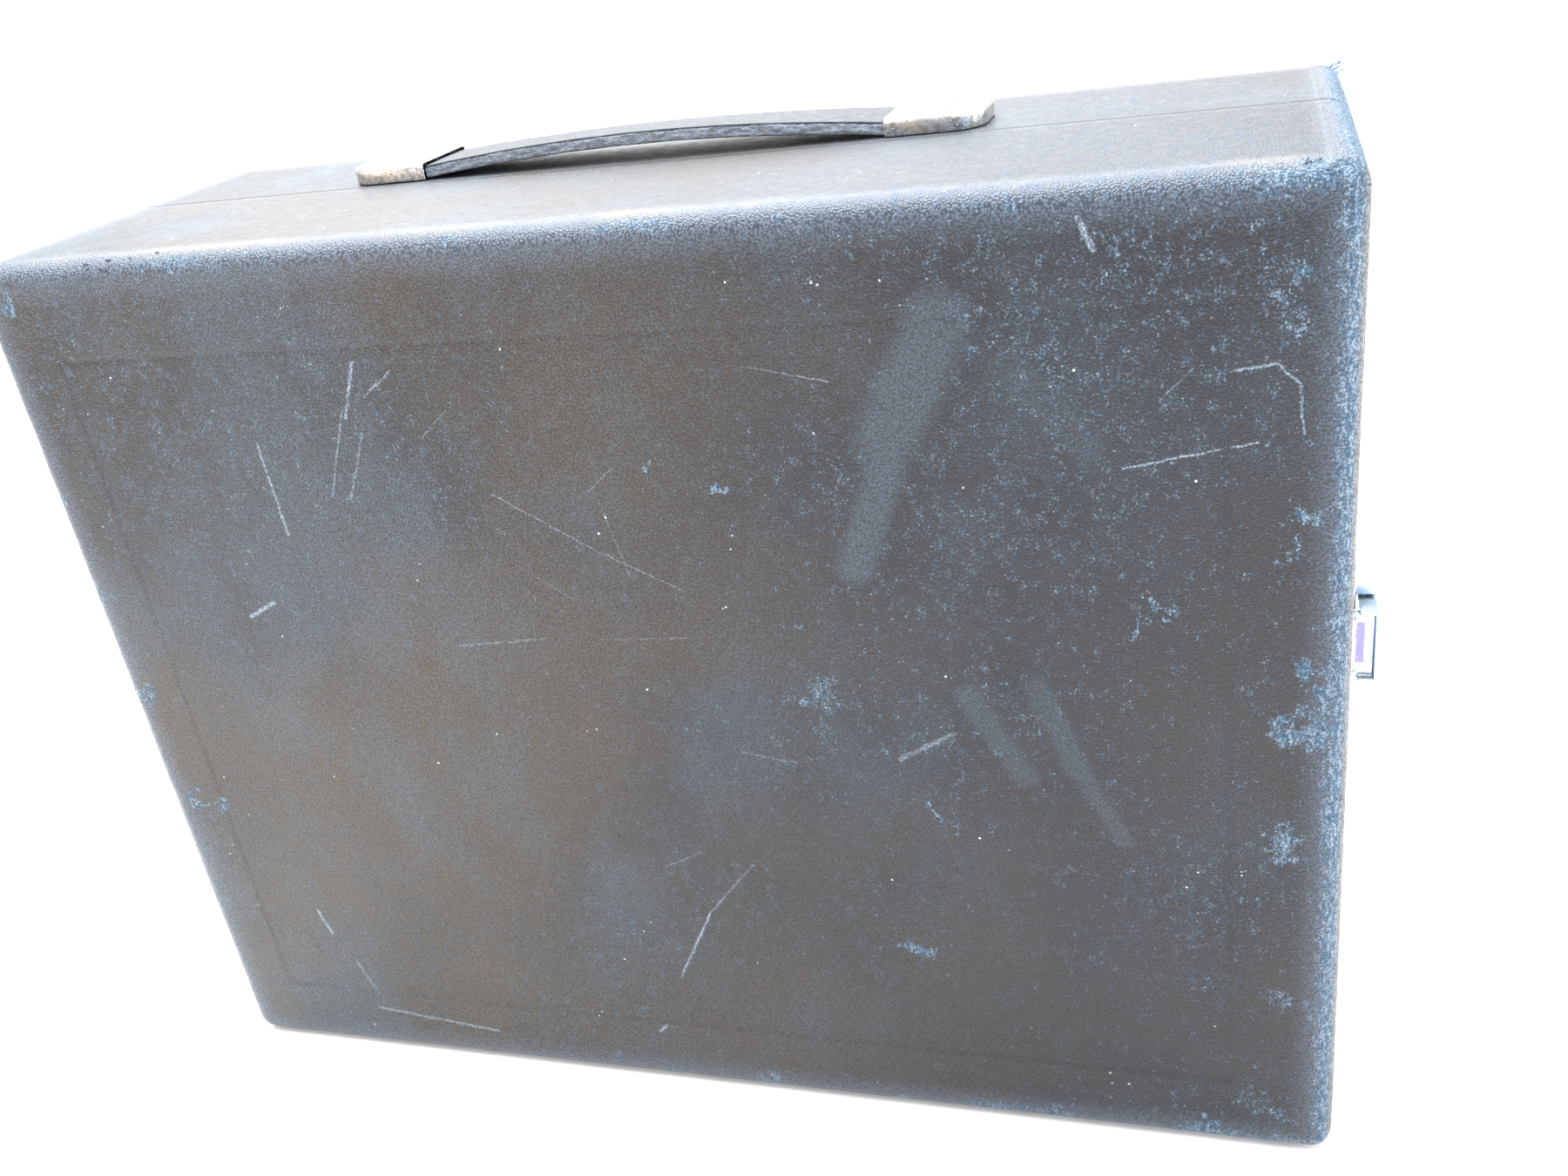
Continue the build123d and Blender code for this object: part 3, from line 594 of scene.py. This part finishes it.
def strap_cloth():
    """The handle strap: coated cloth above and below, and torn fibres along its cut sides, with painted
    light on its underside and painted shade along the sides' lower edge.
    """
    paint = Nodes("strap_cloth")
    x, y, z = paint.xyz()
    across = paint.math("ABSOLUTE", paint.math("SUBTRACT", y, STRAP_MIDDLE.y))
    half = STRAP_WIDTH / 2
    side = paint.ramp(across, half - 1.0 * MM, half - 0.5 * MM)

    # Height above the strap's own middle line, which is an arch between the caps.
    along = paint.math("ABSOLUTE", paint.math("SUBTRACT", x, STRAP_MIDDLE.x))
    share = paint.math("DIVIDE", along, CAP_MOUTH, clamp=True)
    drop = paint.times(share, share)
    rear = paint.ramp(y, STRAP_LOW.y, STRAP_HIGH.y, 0.0, STRAP_LEAN)
    lean = paint.times(rear, paint.math("SUBTRACT", 1.0, drop))
    level = paint.math("SUBTRACT", z, strap_centre(STRAP_MIDDLE.x))
    level = paint.plus(level, paint.plus(paint.times(drop, STRAP_RISE), lean))

    fibres = paint.noise(2200.0, detail=4.0, roughness=0.75, stretch=(0.3, 1.0, 1.0))
    tufts = paint.noise(420.0, detail=4.0, roughness=0.7, stretch=(0.6, 1.0, 1.0), offset=(2.0, 1.0, 0.0))
    torn = paint.times(paint.ramp(fibres, 0.40, 0.58), paint.ramp(tufts, 0.34, 0.52))
    medium = paint.noise(330.0, detail=5.0, roughness=0.7)
    coat = paint.mix(paint.ramp(medium, 0.42, 0.68, 0.0, 0.5), BLACK, FILM_GREY)
    core = paint.mix(torn, STRAP_CORE, STRAP_FIBRE)
    chipped = paint.plus(paint.ramp(level, 0.6 * MM, 1.9 * MM, 0.0, 0.5), paint.times(tufts, 0.6))
    core = paint.mix(paint.ramp(chipped, 0.50, 0.66), core, STRAP_CHIP)
    # Darker at the lower edge of the sides: painted shade.
    core = paint.mix(paint.ramp(level, -1.6 * MM, -1.75 * MM), core, STRAP_LOWER_EDGE_SHADE)
    # Pale on the underside: painted light under the arch.
    coat = paint.mix(paint.ramp(level, -1.3 * MM, -1.7 * MM), coat, STRAP_UNDERSIDE_LIGHT)
    tone = paint.mix(side, coat, core)
    normal = paint.bump(pebble_grain(paint), 0.12 * MM, 0.8)
    normal = paint.bump(paint.times(fibres, side), 0.4 * MM, 0.9, below=normal)
    roughness = paint.ramp(side, 0.0, 1.0, 0.55, 0.85)
    return paint.finish(Base_Color=tone, Roughness=roughness, Normal=normal, Specular_IOR_Level=0.28)


# ---- other materials ---------------------------------------------------------------

def rust_rings(paint):
    """1 in a thin broken ring on the caps round each bolt head."""
    rings = 0.0
    start, full, fading, end = RUST_RADII
    ground_place = paint.vector("MULTIPLY", paint.place, (1.0, 1.0, 0.0))
    for x in BOLT_XS:
        distance = paint.vector("DISTANCE", ground_place, (x, STRAP_MIDDLE.y, 0.0))
        ring = paint.times(paint.ramp(distance, start, full), paint.ramp(distance, end, fading))
        rings = paint.math("MAXIMUM", rings, ring)
    return paint.times(rings, paint.ramp(paint.noise(150.0, detail=3.0), 0.42, 0.56))


def worn_plate(name, bright, stained):
    """Nickel plate, dulled and pitted, with yellowish stains between the pits."""
    paint = Nodes(name)
    stain = paint.noise(120.0, detail=5.0, roughness=0.7)
    mottle = paint.noise(800.0, detail=4.0, roughness=0.7, offset=(0.0, 1.0, 3.0))
    pits = paint.ramp(paint.cells(1600.0), 0.36, 0.14)
    patchy = paint.ramp(paint.noise(260.0, detail=3.0, offset=(2.0, 0.0, 0.0)), 0.44, 0.60)
    pitted = paint.times(pits, patchy)
    tone = paint.mix(paint.ramp(stain, 0.42, 0.68), bright, stained)
    tone = paint.mix(paint.ramp(mottle, 0.46, 0.58, 0.0, 0.7), tone, colour(0.40, 0.38, 0.33))
    tone = paint.mix(pitted, tone, colour(0.12, 0.10, 0.085))
    rust = rust_rings(paint)
    tone = paint.mix(rust, tone, colour(0.20, 0.07, 0.05))
    rough = paint.ramp(stain, 0.35, 0.7, 0.2, 0.45)
    rough = paint.plus(rough, paint.times(pitted, 0.4), clamp=True)
    height = paint.math("SUBTRACT", paint.times(stain, 0.4), pitted)
    metal = paint.math("SUBTRACT", 1.0, rust)
    normal = paint.bump(height, 0.12 * MM, 0.7)
    return paint.finish(Base_Color=tone, Metallic=metal, Roughness=rough, Normal=normal)


def lock_nickel():
    """The lock's nickel plate: cool and fairly clean, dark violet inside the hasp's pan."""
    paint = Nodes("lock_nickel")
    hasp_low, hasp_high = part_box("hasp")
    violet_low = (hasp_high.x - 9.0 * MM, hasp_low.y + 1.8 * MM, hasp_low.z + 5.0 * MM)
    violet_high = (hasp_high.x - 4.6 * MM, hasp_high.y - 0.4 * MM, hasp_high.z - 4.0 * MM)
    fade = 0.4 * MM
    in_pan = 1.0
    for axis, low, high in zip(paint.xyz(), violet_low, violet_high):
        inside = paint.times(paint.ramp(axis, low - fade, low + fade),
                             paint.ramp(axis, high + fade, high - fade))
        in_pan = paint.times(in_pan, inside)
    haze = paint.noise(160.0, detail=4.0, roughness=0.65)
    spots = paint.ramp(paint.noise(900.0, detail=3.0, offset=(1.0, 0.0, 2.0)), 0.64, 0.74)
    tone = paint.mix(paint.ramp(haze, 0.38, 0.66), colour(0.52, 0.60, 0.66), colour(0.40, 0.46, 0.51))
    # Dark violet inside the hasp's pan.
    tone = paint.mix(in_pan, tone, colour(0.20, 0.18, 0.44))
    tone = paint.mix(paint.times(spots, 0.7), tone, colour(0.16, 0.12, 0.09))
    rough = paint.ramp(haze, 0.35, 0.7, 0.22, 0.42)
    rough = paint.plus(rough, paint.times(spots, 0.3), clamp=True)
    normal = paint.bump(haze, 0.06 * MM, 0.6)
    return paint.finish(Base_Color=tone, Metallic=1.0, Roughness=rough, Normal=normal)


def plain_steel():
    """Bare steel, lightly brushed, with a few rust spots."""
    paint = Nodes("plain_steel")
    brushed = paint.noise(700.0, detail=3.0, stretch=(0.1, 1.0, 1.0))
    rust = paint.ramp(paint.noise(180.0, detail=5.0), 0.56, 0.70)
    tone = paint.mix(rust, colour(0.42, 0.42, 0.43), colour(0.20, 0.12, 0.07))
    rough = paint.ramp(brushed, 0.3, 0.7, 0.28, 0.48)
    normal = paint.bump(brushed, 0.04 * MM, 0.5)
    return paint.finish(Base_Color=tone, Metallic=1.0, Roughness=rough, Normal=normal)


def bare_wood(name, light, dark, stretch):
    """Planed wood: long streaks of early and late growth, with fine pores."""
    paint = Nodes(name)
    rings = paint.noise(70.0, detail=4.0, roughness=0.6, stretch=stretch)
    pores = paint.noise(900.0, detail=2.0, stretch=stretch)
    bands = paint.ramp(paint.math("FRACT", paint.times(rings, 7.0)), 0.1, 0.9)
    tone = paint.mix(paint.times(bands, 0.7), light, dark)
    tone = paint.mix(paint.ramp(pores, 0.55, 0.75, 0.0, 0.5), tone, dark)
    return paint.finish(Base_Color=tone, Roughness=0.68, Normal=paint.bump(pores, 0.1 * MM, 0.6))


def lining_cloth():
    """Plain woven cloth glued down: a fine over-and-under weave with slight stains."""
    paint = Nodes("lining_cloth")
    waves = []
    for direction in ("X", "Y", "Z"):
        wave = paint.add("ShaderNodeTexWave", bands_direction=direction)
        paint.plug(wave.inputs["Vector"], paint.place)
        wave.inputs["Scale"].default_value = 190.0
        wave.inputs["Distortion"].default_value = 0.6
        waves.append(wave.outputs["Fac"])
    weave = paint.plus(waves[0], paint.plus(waves[1], waves[2]))
    weave = paint.times(weave, 0.33)
    stain = paint.noise(14.0, detail=5.0)
    tone = paint.mix(paint.ramp(stain, 0.35, 0.7), colour(0.24, 0.215, 0.19), colour(0.29, 0.255, 0.215))
    tone = paint.mix(paint.ramp(weave, 0.3, 0.7, 0.0, 0.35), tone, colour(0.12, 0.11, 0.10))
    normal = paint.bump(weave, 0.15 * MM, 0.6)
    return paint.finish(Base_Color=tone, Roughness=0.9, Normal=normal, Sheen_Weight=0.15)


def frayed_thread():
    """Loose backing threads: blue, paler in places."""
    paint = Nodes("frayed_thread")
    patches = paint.noise(700.0, detail=2.0)
    tone = paint.mix(paint.ramp(patches, 0.4, 0.6), colour(0.03, 0.10, 0.32), colour(0.14, 0.28, 0.52))
    return paint.finish(Base_Color=tone, Roughness=0.8, Normal=paint.bump(patches, 0.1 * MM, 0.6))


# ---- mesh building blocks ------------------------------------------------------------

def new_piece(name, vertices, faces, material):
    """A smooth-shaded mesh piece with doubled vertices joined and its faces turned outwards."""
    mesh = bpy.data.meshes.new(name)
    mesh.from_pydata([tuple(vertex) for vertex in vertices], [], faces)
    work = bmesh.new()
    work.from_mesh(mesh)
    bmesh.ops.remove_doubles(work, verts=work.verts, dist=1e-7)
    bmesh.ops.recalc_face_normals(work, faces=work.faces)
    work.to_mesh(mesh)
    work.free()
    mesh.shade_smooth()
    mesh.materials.append(material)
    piece = bpy.data.objects.new(name, mesh)
    bpy.context.scene.collection.objects.link(piece)
    return piece


def apply_modifiers(piece):
    """Keeps the shape that the piece's modifiers give, and removes them."""
    bpy.context.view_layer.update()
    shaped = bpy.data.meshes.new_from_object(piece.evaluated_get(bpy.context.evaluated_depsgraph_get()))
    piece.modifiers.clear()
    piece.data = shaped


def thicken(piece, thickness):
    """Gives a surface thickness, inwards."""
    solidify = piece.modifiers.new("thickness", "SOLIDIFY")
    solidify.thickness = thickness
    solidify.offset = -1.0
    apply_modifiers(piece)


def spread(low, high, step):
    """Even positions from low to high, about step apart."""
    return [float(place) for place in np.linspace(low, high, max(2, round((high - low) / step) + 1))]


# Where the lines of a mesh run beside a crease, in millimetres off it.
CREASE_LINES = (-1.6, -0.9, -0.45, 0.0, 0.45, 0.9, 1.6)


def grid_lines(low, high, step, radius, round_low=True, round_high=True, creases=()):
    """Positions along one axis: fine across each rounded edge and beside each crease."""
    start = low + radius if round_low else low
    stop = high - radius if round_high else high
    lines = spread(start, stop, step)
    if round_low:
        lines += spread(low, start, radius / 5)
    if round_high:
        lines += spread(stop, high, radius / 5)
    for crease in creases:
        clear = CREASE_LINES[-1] * MM
        lines = [line for line in lines if abs(line - crease) > clear or line in (low, high)]
        lines += [crease + offset * MM for offset in CREASE_LINES]
    return sorted({round(line, 6) for line in lines})


class Tray:
    """A box open on one side along y, with rounded edges: the form of the covering and the lining."""

    def __init__(self, low, high, closed_side, radius, step, creases_x=(), creases_z=()):
        self.closed, self.mouth = (low.y, high.y) if closed_side < 0 else (high.y, low.y)
        self.to_mouth = -closed_side
        self.xs = grid_lines(low.x, high.x, step, radius, creases=creases_x)
        self.zs = grid_lines(low.z, high.z, step, radius, creases=creases_z)
        self.ys = grid_lines(low.y, high.y, step, radius, closed_side < 0, closed_side > 0)
        self.radius = radius
        inset = Vector((radius, radius, radius))
        self.core_low, self.core_high = low + inset, high - inset
        if closed_side < 0:
            self.core_high.y = high.y + radius
        else:
            self.core_low.y = low.y - radius
        self.vertices, self.faces, self.index = [], [], {}
        self.build()

    def way_out(self, point):
        """The point of the tray's core nearest to the given one, and the way out from there."""
        core = Vector([min(max(v, a), b) for v, a, b in zip(point, self.core_low, self.core_high)])
        return core, (point - core).normalized()

    def vertex(self, x, y, z):
        if (x, y, z) not in self.index:
            self.index[x, y, z] = len(self.vertices)
            core, outward = self.way_out(Vector((x, y, z)))
            self.vertices.append(core + outward * self.radius)
        return self.index[x, y, z]

    def sheet(self, first, second, place):
        for a, b in zip(first, first[1:]):
            for c, d in zip(second, second[1:]):
                self.faces.append([self.vertex(*place(u, v)) for u, v in ((a, c), (b, c), (b, d), (a, d))])

    def build(self):
        self.sheet(self.xs, self.zs, lambda u, v: (u, self.closed, v))
        for z in (self.zs[0], self.zs[-1]):
            self.sheet(self.xs, self.ys, lambda u, v, z=z: (u, v, z))
        for x in (self.xs[0], self.xs[-1]):
            self.sheet(self.ys, self.zs, lambda u, v, x=x: (x, u, v))

    def rim(self):
        """The vertices round the mouth, in order."""
        xs, zs = self.xs, self.zs
        outline = [(x, zs[0]) for x in xs] + [(xs[-1], z) for z in zs[1:]]
        outline += [(x, zs[-1]) for x in reversed(xs[:-1])] + [(xs[0], z) for z in reversed(zs[1:-1])]
        return [self.vertex(x, self.mouth, z) for x, z in outline]

    def displace(self, depth_at):
        """Moves each vertex out by depth_at(point, distance to the mouth)."""
        for i, point in enumerate(self.vertices):
            gap = self.to_mouth * (self.mouth - point.y)
            if gap > 0.1 * MM:
                self.vertices[i] = point + self.way_out(point)[1] * depth_at(point, gap)


# ---- covering and lining -----------------------------------------------------------------

def valley(distance, half_width):
    """A smooth bump, 1 at no distance and 0 past the half width."""
    share = min(abs(distance) / half_width, 1.0)
    return (1 - share * share) ** 2


def panel_joint_dip(point):
    """How far the framed panel's joint shows through the lid's covering."""
    if point.y > LID_LOW.y + MM:
        return 0.0
    inside_x = INFILL_LOW.x - MM < point.x < INFILL_HIGH.x + MM
    inside_z = INFILL_LOW.z - MM < point.z < INFILL_HIGH.z + MM
    groove = 0.0
    if inside_z:
        left = 0.3 * valley(point.x - INFILL_LOW.x, JOINT_HALF_WIDTH)
        groove = left + valley(point.x - INFILL_HIGH.x, JOINT_HALF_WIDTH)
    if inside_x:
        lower = 0.8 * valley(point.z - INFILL_LOW.z, JOINT_HALF_WIDTH)
        upper = 0.7 * valley(point.z - INFILL_HIGH.z, JOINT_HALF_WIDTH)
        groove = max(groove, lower + upper)
    broken = 0.6 + 0.4 * noise.noise(point * 30)
    sunk = 0.12 if inside_x and inside_z else 0.0
    return (0.36 * groove * broken + sunk) * MM


def unevenness(point):
    """Slow lumps in the covering, larger at the rounded edges and pleated at the corners."""
    gaps = sorted((min(point.x - CASE_LOW.x, CASE_HIGH.x - point.x),
                   min(point.y - CASE_LOW.y, CASE_HIGH.y - point.y),
                   min(point.z - CASE_LOW.z, CASE_HIGH.z - point.z)))
    edge = valley(gaps[1], 12 * MM)
    corner = valley(gaps[2], 16 * MM) * edge
    slow = 0.14 * noise.noise(point * 16) + 0.05 * noise.noise(point * 55)
    dents = 0.18 * noise.noise(point * 90) * edge
    pleats = 0.30 * noise.noise(point * 260) * corner
    return (slow + dents + pleats - 0.16 - 0.2 * corner) * MM


def seam_step(point):
    """The covering's overlap on the top, proud beyond the seam near its right end."""
    on_top = point.z > CASE_HIGH.z - MM
    return 0.3 * MM if on_top and point.x > SEAM_X else 0.0


def covering(name, low, high, closed_side, material, panel_joints):
    """One tray's leathercloth: over the outside, round the mouth's edge and in to the lining."""
    creases_x = [SEAM_X] + ([INFILL_LOW.x, INFILL_HIGH.x] if panel_joints else [])
    creases_z = [INFILL_LOW.z, INFILL_HIGH.z] if panel_joints else []
    tray = Tray(low, high, closed_side, EDGE_RADIUS, 3 * MM, creases_x, creases_z)
    rim = tray.rim()

    def depth_at(point, gap):
        fade = min(1.0, gap / (4 * MM))
        dip = panel_joint_dip(point) if panel_joints else 0.0
        return (unevenness(point) + seam_step(point)) * fade - dip

    tray.displace(depth_at)
    rings = [rim]
    for share in (0.03, 0.35, 0.75, 1.0):  # of the way in from the mouth's outer edge
        ring = []
        for place in rim:
            start = tray.vertices[place]
            inner_x = min(max(start.x, INNER_LOW.x), INNER_HIGH.x)
            inner_z = min(max(start.z, INNER_LOW.z), INNER_HIGH.z)
            x = start.x + (inner_x - start.x) * share
            z = start.z + (inner_z - start.z) * share
            ring.append(len(tray.vertices))
            tray.vertices.append(Vector((x, tray.mouth, z)))
        rings.append(ring)
    for place in rim:
        tray.vertices[place].y -= tray.to_mouth * MOUTH_SETBACK
    for outer, inner in zip(rings, rings[1:]):
        for i in range(len(rim)):
            j = (i + 1) % len(rim)
            tray.faces.append([outer[i], outer[j], inner[j], inner[i]])
    piece = new_piece(name, tray.vertices, tray.faces, material)
    thicken(piece, COVER_THICKNESS)
    return piece


def add_coverings():
    lid_paint = leathercloth("lid_leathercloth", LID_LOW, LID_HIGH, -1, marked=True)
    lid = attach(covering("lid_covering", LID_LOW, LID_HIGH, -1, lid_paint, True), "lid")
    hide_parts("lid_edge_covering", "lid_face_covering")
    body_paint = leathercloth("body_leathercloth", BODY_LOW, BODY_HIGH, 1)
    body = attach(covering("body_covering", BODY_LOW, BODY_HIGH, 1, body_paint, False), "body")
    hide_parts("body_edge_covering", "body_face_covering")
    add_flakes(lid_paint)


def add_lining(body, closed_side, material):
    """Cloth glued inside one tray, slightly puckered."""
    node = body + "_lining"
    low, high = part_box(node)
    tray = Tray(low, high, closed_side, 2 * MM, 4 * MM)

    def depth_at(point, gap):
        ripple = 0.5 + 0.5 * noise.noise(point * 45)
        return -0.25 * MM * ripple * min(1.0, gap / (3 * MM))

    tray.displace(depth_at)
    piece = new_piece(node + "_cloth", tray.vertices, tray.faces, material)
    thicken(piece, LINING_THICKNESS)
    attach(piece, body)
    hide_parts(node)


# ---- handle strap ----------------------------------------------------------------------

def rounded_section(width, height, radius, step):
    """(across, up) points round a rectangle with rounded corners."""
    corners = []
    for side, level, first in ((1, -1, -90), (1, 1, 0), (-1, 1, 90), (-1, -1, 180)):
        middle = (side * (width / 2 - radius), level * (height / 2 - radius))
        for i in range(5):
            angle = math.radians(first + 22.5 * i)
            corners.append((middle[0] + radius * math.cos(angle), middle[1] + radius * math.sin(angle)))
    points = []
    for (a, b), (c, d) in zip(corners, corners[1:] + corners[:1]):
        count = max(1, round(math.hypot(c - a, d - b) / step))
        points += [(a + (c - a) * i / count, b + (d - b) * i / count) for i in range(count)]
    return points


def strap_half(name, side, width, thickness, radius, end, shift_at, material):
    """Half of a band along the strap's line, from its middle to one end, as a closed solid."""
    outline = rounded_section(width, thickness, radius, 0.6 * MM)
    stations = spread(0.0, end, 0.8 * MM)
    vertices = []
    for distance in stations:
        x = STRAP_MIDDLE.x + side * distance
        for across, up in outline:
            point = Vector((x, STRAP_MIDDLE.y + across, strap_centre(x) + up))
            vertices.append(point + shift_at(point, across, up))
    count = len(outline)
    faces = [list(range(count)), list(range(len(vertices) - count, len(vertices)))]
    for i in range(len(stations) - 1):
        for j in range(count):
            k = (j + 1) % count
            faces.append([i * count + j, i * count + k, (i + 1) * count + k, (i + 1) * count + j])
    piece = new_piece(name, vertices, faces, material)
    piece.data.set_sharp_from_angle(angle=math.radians(50))
    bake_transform(piece)
    return piece


def lean_back(point, across, up):
    """The strap sits lower along its rear edge, except at the caps."""
    return Vector((0.0, 0.0, -STRAP_LEAN * (0.5 + across / STRAP_WIDTH) * arch(point.x)))


def strap_wear(point, across, up):
    """Crowned faces, and ragged fibres along the sides."""
    share = across / (STRAP_WIDTH / 2)
    crown = (0.12 * (1 - share ** 2) - 0.16) * MM * (1 if up > 0 else -1)
    lumps = 0.10 * noise.noise(point * 130) * MM
    edge = max(0.0, (abs(share) - 0.94) / 0.06)
    rag = (0.30 * noise.noise(Vector((point.x * 240, side_seed(across), up * 900)))
           + 0.16 * noise.noise(point * 900) - 0.22) * MM * edge
    wear = Vector((0.0, rag * (1 if across > 0 else -1), crown + lumps))
    return wear + lean_back(point, across, up)


def side_seed(across):
    return 3.0 if across > 0 else 7.0


def add_strap(cloth, steel):
    band_low, band_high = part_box("strap_band")
    band_width = band_high.y - band_low.y
    band_end = (band_high.x - band_low.x) / 2
    strap_depth = STRAP_THICKNESS + STRAP_SWELL
    for side, word in ((-1, "left"), (1, "right")):
        piece = strap_half("strap_" + word, side, STRAP_WIDTH, strap_depth, STRAP_CORNER, STRAP_LENGTH / 2,
                           strap_wear, cloth)
        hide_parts("strap_tail_" + word, *(["strap_grip"] if side > 0 else []))
        band = strap_half("spring_band_" + word, side, band_width, BAND_THICKNESS, BAND_CORNER, band_end,
                          lean_back, steel)
        if side > 0:
            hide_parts("strap_band")


# ---- metal pieces --------------------------------------------------------------------

def add_bevelled(node, body, width, material):
    """A copy of a CAD node with softened edges, in its place."""
    mesh = frame["nodes"][node].data.copy()
    work = bmesh.new()
    work.from_mesh(mesh)
    bmesh.ops.remove_doubles(work, verts=work.verts, dist=2e-6)
    bmesh.ops.dissolve_limit(work, angle_limit=math.radians(1.0), verts=work.verts, edges=work.edges)
    work.to_mesh(mesh)
    work.free()
    mesh.shade_smooth()
    mesh.materials.clear()
    mesh.materials.append(material)
    piece = bpy.data.objects.new(node + "_finished", mesh)
    bpy.context.scene.collection.objects.link(piece)
    bevel = piece.modifiers.new("soft_edges", "BEVEL")
    bevel.width = width
    bevel.segments = 3
    bevel.limit_method = "ANGLE"
    bevel.angle_limit = math.radians(BEVEL_ANGLE)
    bevel.harden_normals = True
    apply_modifiers(piece)
    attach(piece, body)
    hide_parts(node)
    return piece


# ---- frayed corners --------------------------------------------------------------------

def add_threads(material):
    """Backing threads that stand out of the top right rear corner."""
    chance = random.Random(4)
    root = Vector((CASE_HIGH.x - 2.2 * MM, CASE_HIGH.y - 2.0 * MM, CASE_HIGH.z - 2.4 * MM))
    vertices, faces = [], []
    for _ in range(THREAD_COUNT):
        start = root + Vector([chance.uniform(-1.6, 1.6) * MM for _ in range(3)])
        aim = Vector((chance.uniform(0.4, 1.1), chance.uniform(-0.2, 0.7), chance.uniform(0.0, 0.6)))
        aim.normalize()
        bend = Vector([chance.uniform(-0.5, 0.5) for _ in range(3)])
        length = chance.uniform(1.4, 3.8) * MM
        radius = chance.uniform(0.14, 0.24) * MM
        across = aim.orthogonal().normalized()
        up = aim.cross(across)
        first = len(vertices)
        steps, sides = 7, 6
        for i in range(steps):
            share = i / (steps - 1)
            centre = start + (aim + bend * share) * length * share
            for j in range(sides):
                angle = 2 * math.pi * j / sides
                reach = radius * (1.1 - 0.6 * share)
                vertices.append(centre + (across * math.cos(angle) + up * math.sin(angle)) * reach)
        for i in range(steps - 1):
            for j in range(sides):
                k = (j + 1) % sides
                a, b = first + i * sides, first + (i + 1) * sides
                faces.append([a + j, a + k, b + k, b + j])
        faces.append([first + j for j in range(sides)])
        faces.append([first + (steps - 1) * sides + j for j in range(sides)])
    piece = new_piece("frayed_threads", vertices, faces, material)
    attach(piece, "body")


# A flake's four corners as shares of its length, its width and its lift.
FLAKE_CORNERS = ((-0.5, -0.5, 0.0), (0.4, -0.6, 0.2), (0.55, 0.1, 1.0), (-0.3, 0.5, 0.7))


def add_flakes(material):
    """Lifted scraps of coating at the lid's top right corner and along its top edge."""
    chance = random.Random(11)
    vertices, faces = [], []
    for number in range(FLAKE_COUNT):
        on_corner = number < CORNER_FLAKES
        x = LID_HIGH.x - (chance.uniform(1.0, 16.0) if on_corner else chance.uniform(290.0, 345.0)) * MM
        turn = chance.uniform(0.15, 1.35)
        reach = EDGE_RADIUS - 0.1 * MM
        centre = Vector((x, LID_LOW.y + EDGE_RADIUS - reach * math.sin(turn),
                         LID_HIGH.z - EDGE_RADIUS + reach * math.cos(turn)))
        if x > LID_HIGH.x - EDGE_RADIUS:
            centre.z -= 0.7 * (x - LID_HIGH.x + EDGE_RADIUS)
        out = Vector((0.25 if on_corner else 0.0, -math.sin(turn), math.cos(turn))).normalized()
        along = Vector((1.0, chance.uniform(-0.4, 0.4), chance.uniform(-0.4, 0.4))).normalized()
        side = out.cross(along).normalized()
        length, width = chance.uniform(0.8, 2.4) * MM, chance.uniform(0.5, 1.1) * MM
        lift = chance.uniform(0.3, 0.8) * MM
        a = len(vertices)
        for level in (0.0, -0.12 * MM):
            for share_along, share_side, rise in FLAKE_CORNERS:
                vertices.append(centre + along * length * share_along + side * width * share_side
                                + out * (lift * rise + level))
        faces += [[a, a + 1, a + 2, a + 3], [a + 7, a + 6, a + 5, a + 4]]
        faces += [[a + i, a + (i + 1) % 4, a + 4 + (i + 1) % 4, a + 4 + i] for i in range(4)]
    piece = new_piece("lifted_flakes", vertices, faces, material)
    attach(piece, "lid")


# ---- putting it together ----------------------------------------------------------------

def paint_cad_nodes(paints):
    """Gives each CAD node that still shows the material of its slot."""
    for name, node in frame["nodes"].items():
        node.data.materials.clear()
        node.data.materials.append(paints[SLOTS[name]])


def main():
    bpy.context.scene.view_settings.view_transform = "Standard"
    add_camera()
    add_floor()
    add_lights()
    plate = worn_plate("cap_plate", colour(0.86, 0.86, 0.86), colour(0.63, 0.59, 0.51))
    hinge_plate = worn_plate("hinge_plate", colour(0.46, 0.46, 0.45), colour(0.33, 0.30, 0.24))
    steel = plain_steel()
    cloth = strap_cloth()
    lining = lining_cloth()
    lip = bare_wood("lip_wood", colour(0.50, 0.36, 0.22), colour(0.30, 0.19, 0.10), (0.2, 1.0, 0.2))
    board = bare_wood("board_wood", colour(0.52, 0.38, 0.22), colour(0.36, 0.24, 0.13), (0.1, 1.0, 0.3))
    panel = bare_wood("panel_wood", colour(0.40, 0.29, 0.18), colour(0.28, 0.19, 0.11), (0.1, 1.0, 1.0))
    paint_cad_nodes({
        "leathercloth": cloth,
        "plated": hinge_plate,
        "steel": steel,
        "lining": lining,
        "lip": lip,
        "board": board,
        "panel": panel,
    })
    add_coverings()
    add_lining("lid", -1, lining)
    add_lining("body", 1, lining)
    add_strap(cloth, steel)
    for node in ("handle_cap_left", "handle_cap_right", "handle_bolts"):
        add_bevelled(node, "body", 0.45 * MM, plate)
    spring = add_bevelled("slider_spring", "body", 0.05 * MM, steel)
    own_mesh(spring)
    nickel = lock_nickel()
    for node in ("lock_plate", "lock_housing"):
        add_bevelled(node, "body", 0.3 * MM, nickel)
    add_bevelled("lock_slider", "slider", 0.3 * MM, nickel)
    add_bevelled("hasp", "hasp", 0.35 * MM, nickel)
    add_bevelled("hasp_plate", "lid", 0.25 * MM, nickel)
    add_threads(frayed_thread())


main()
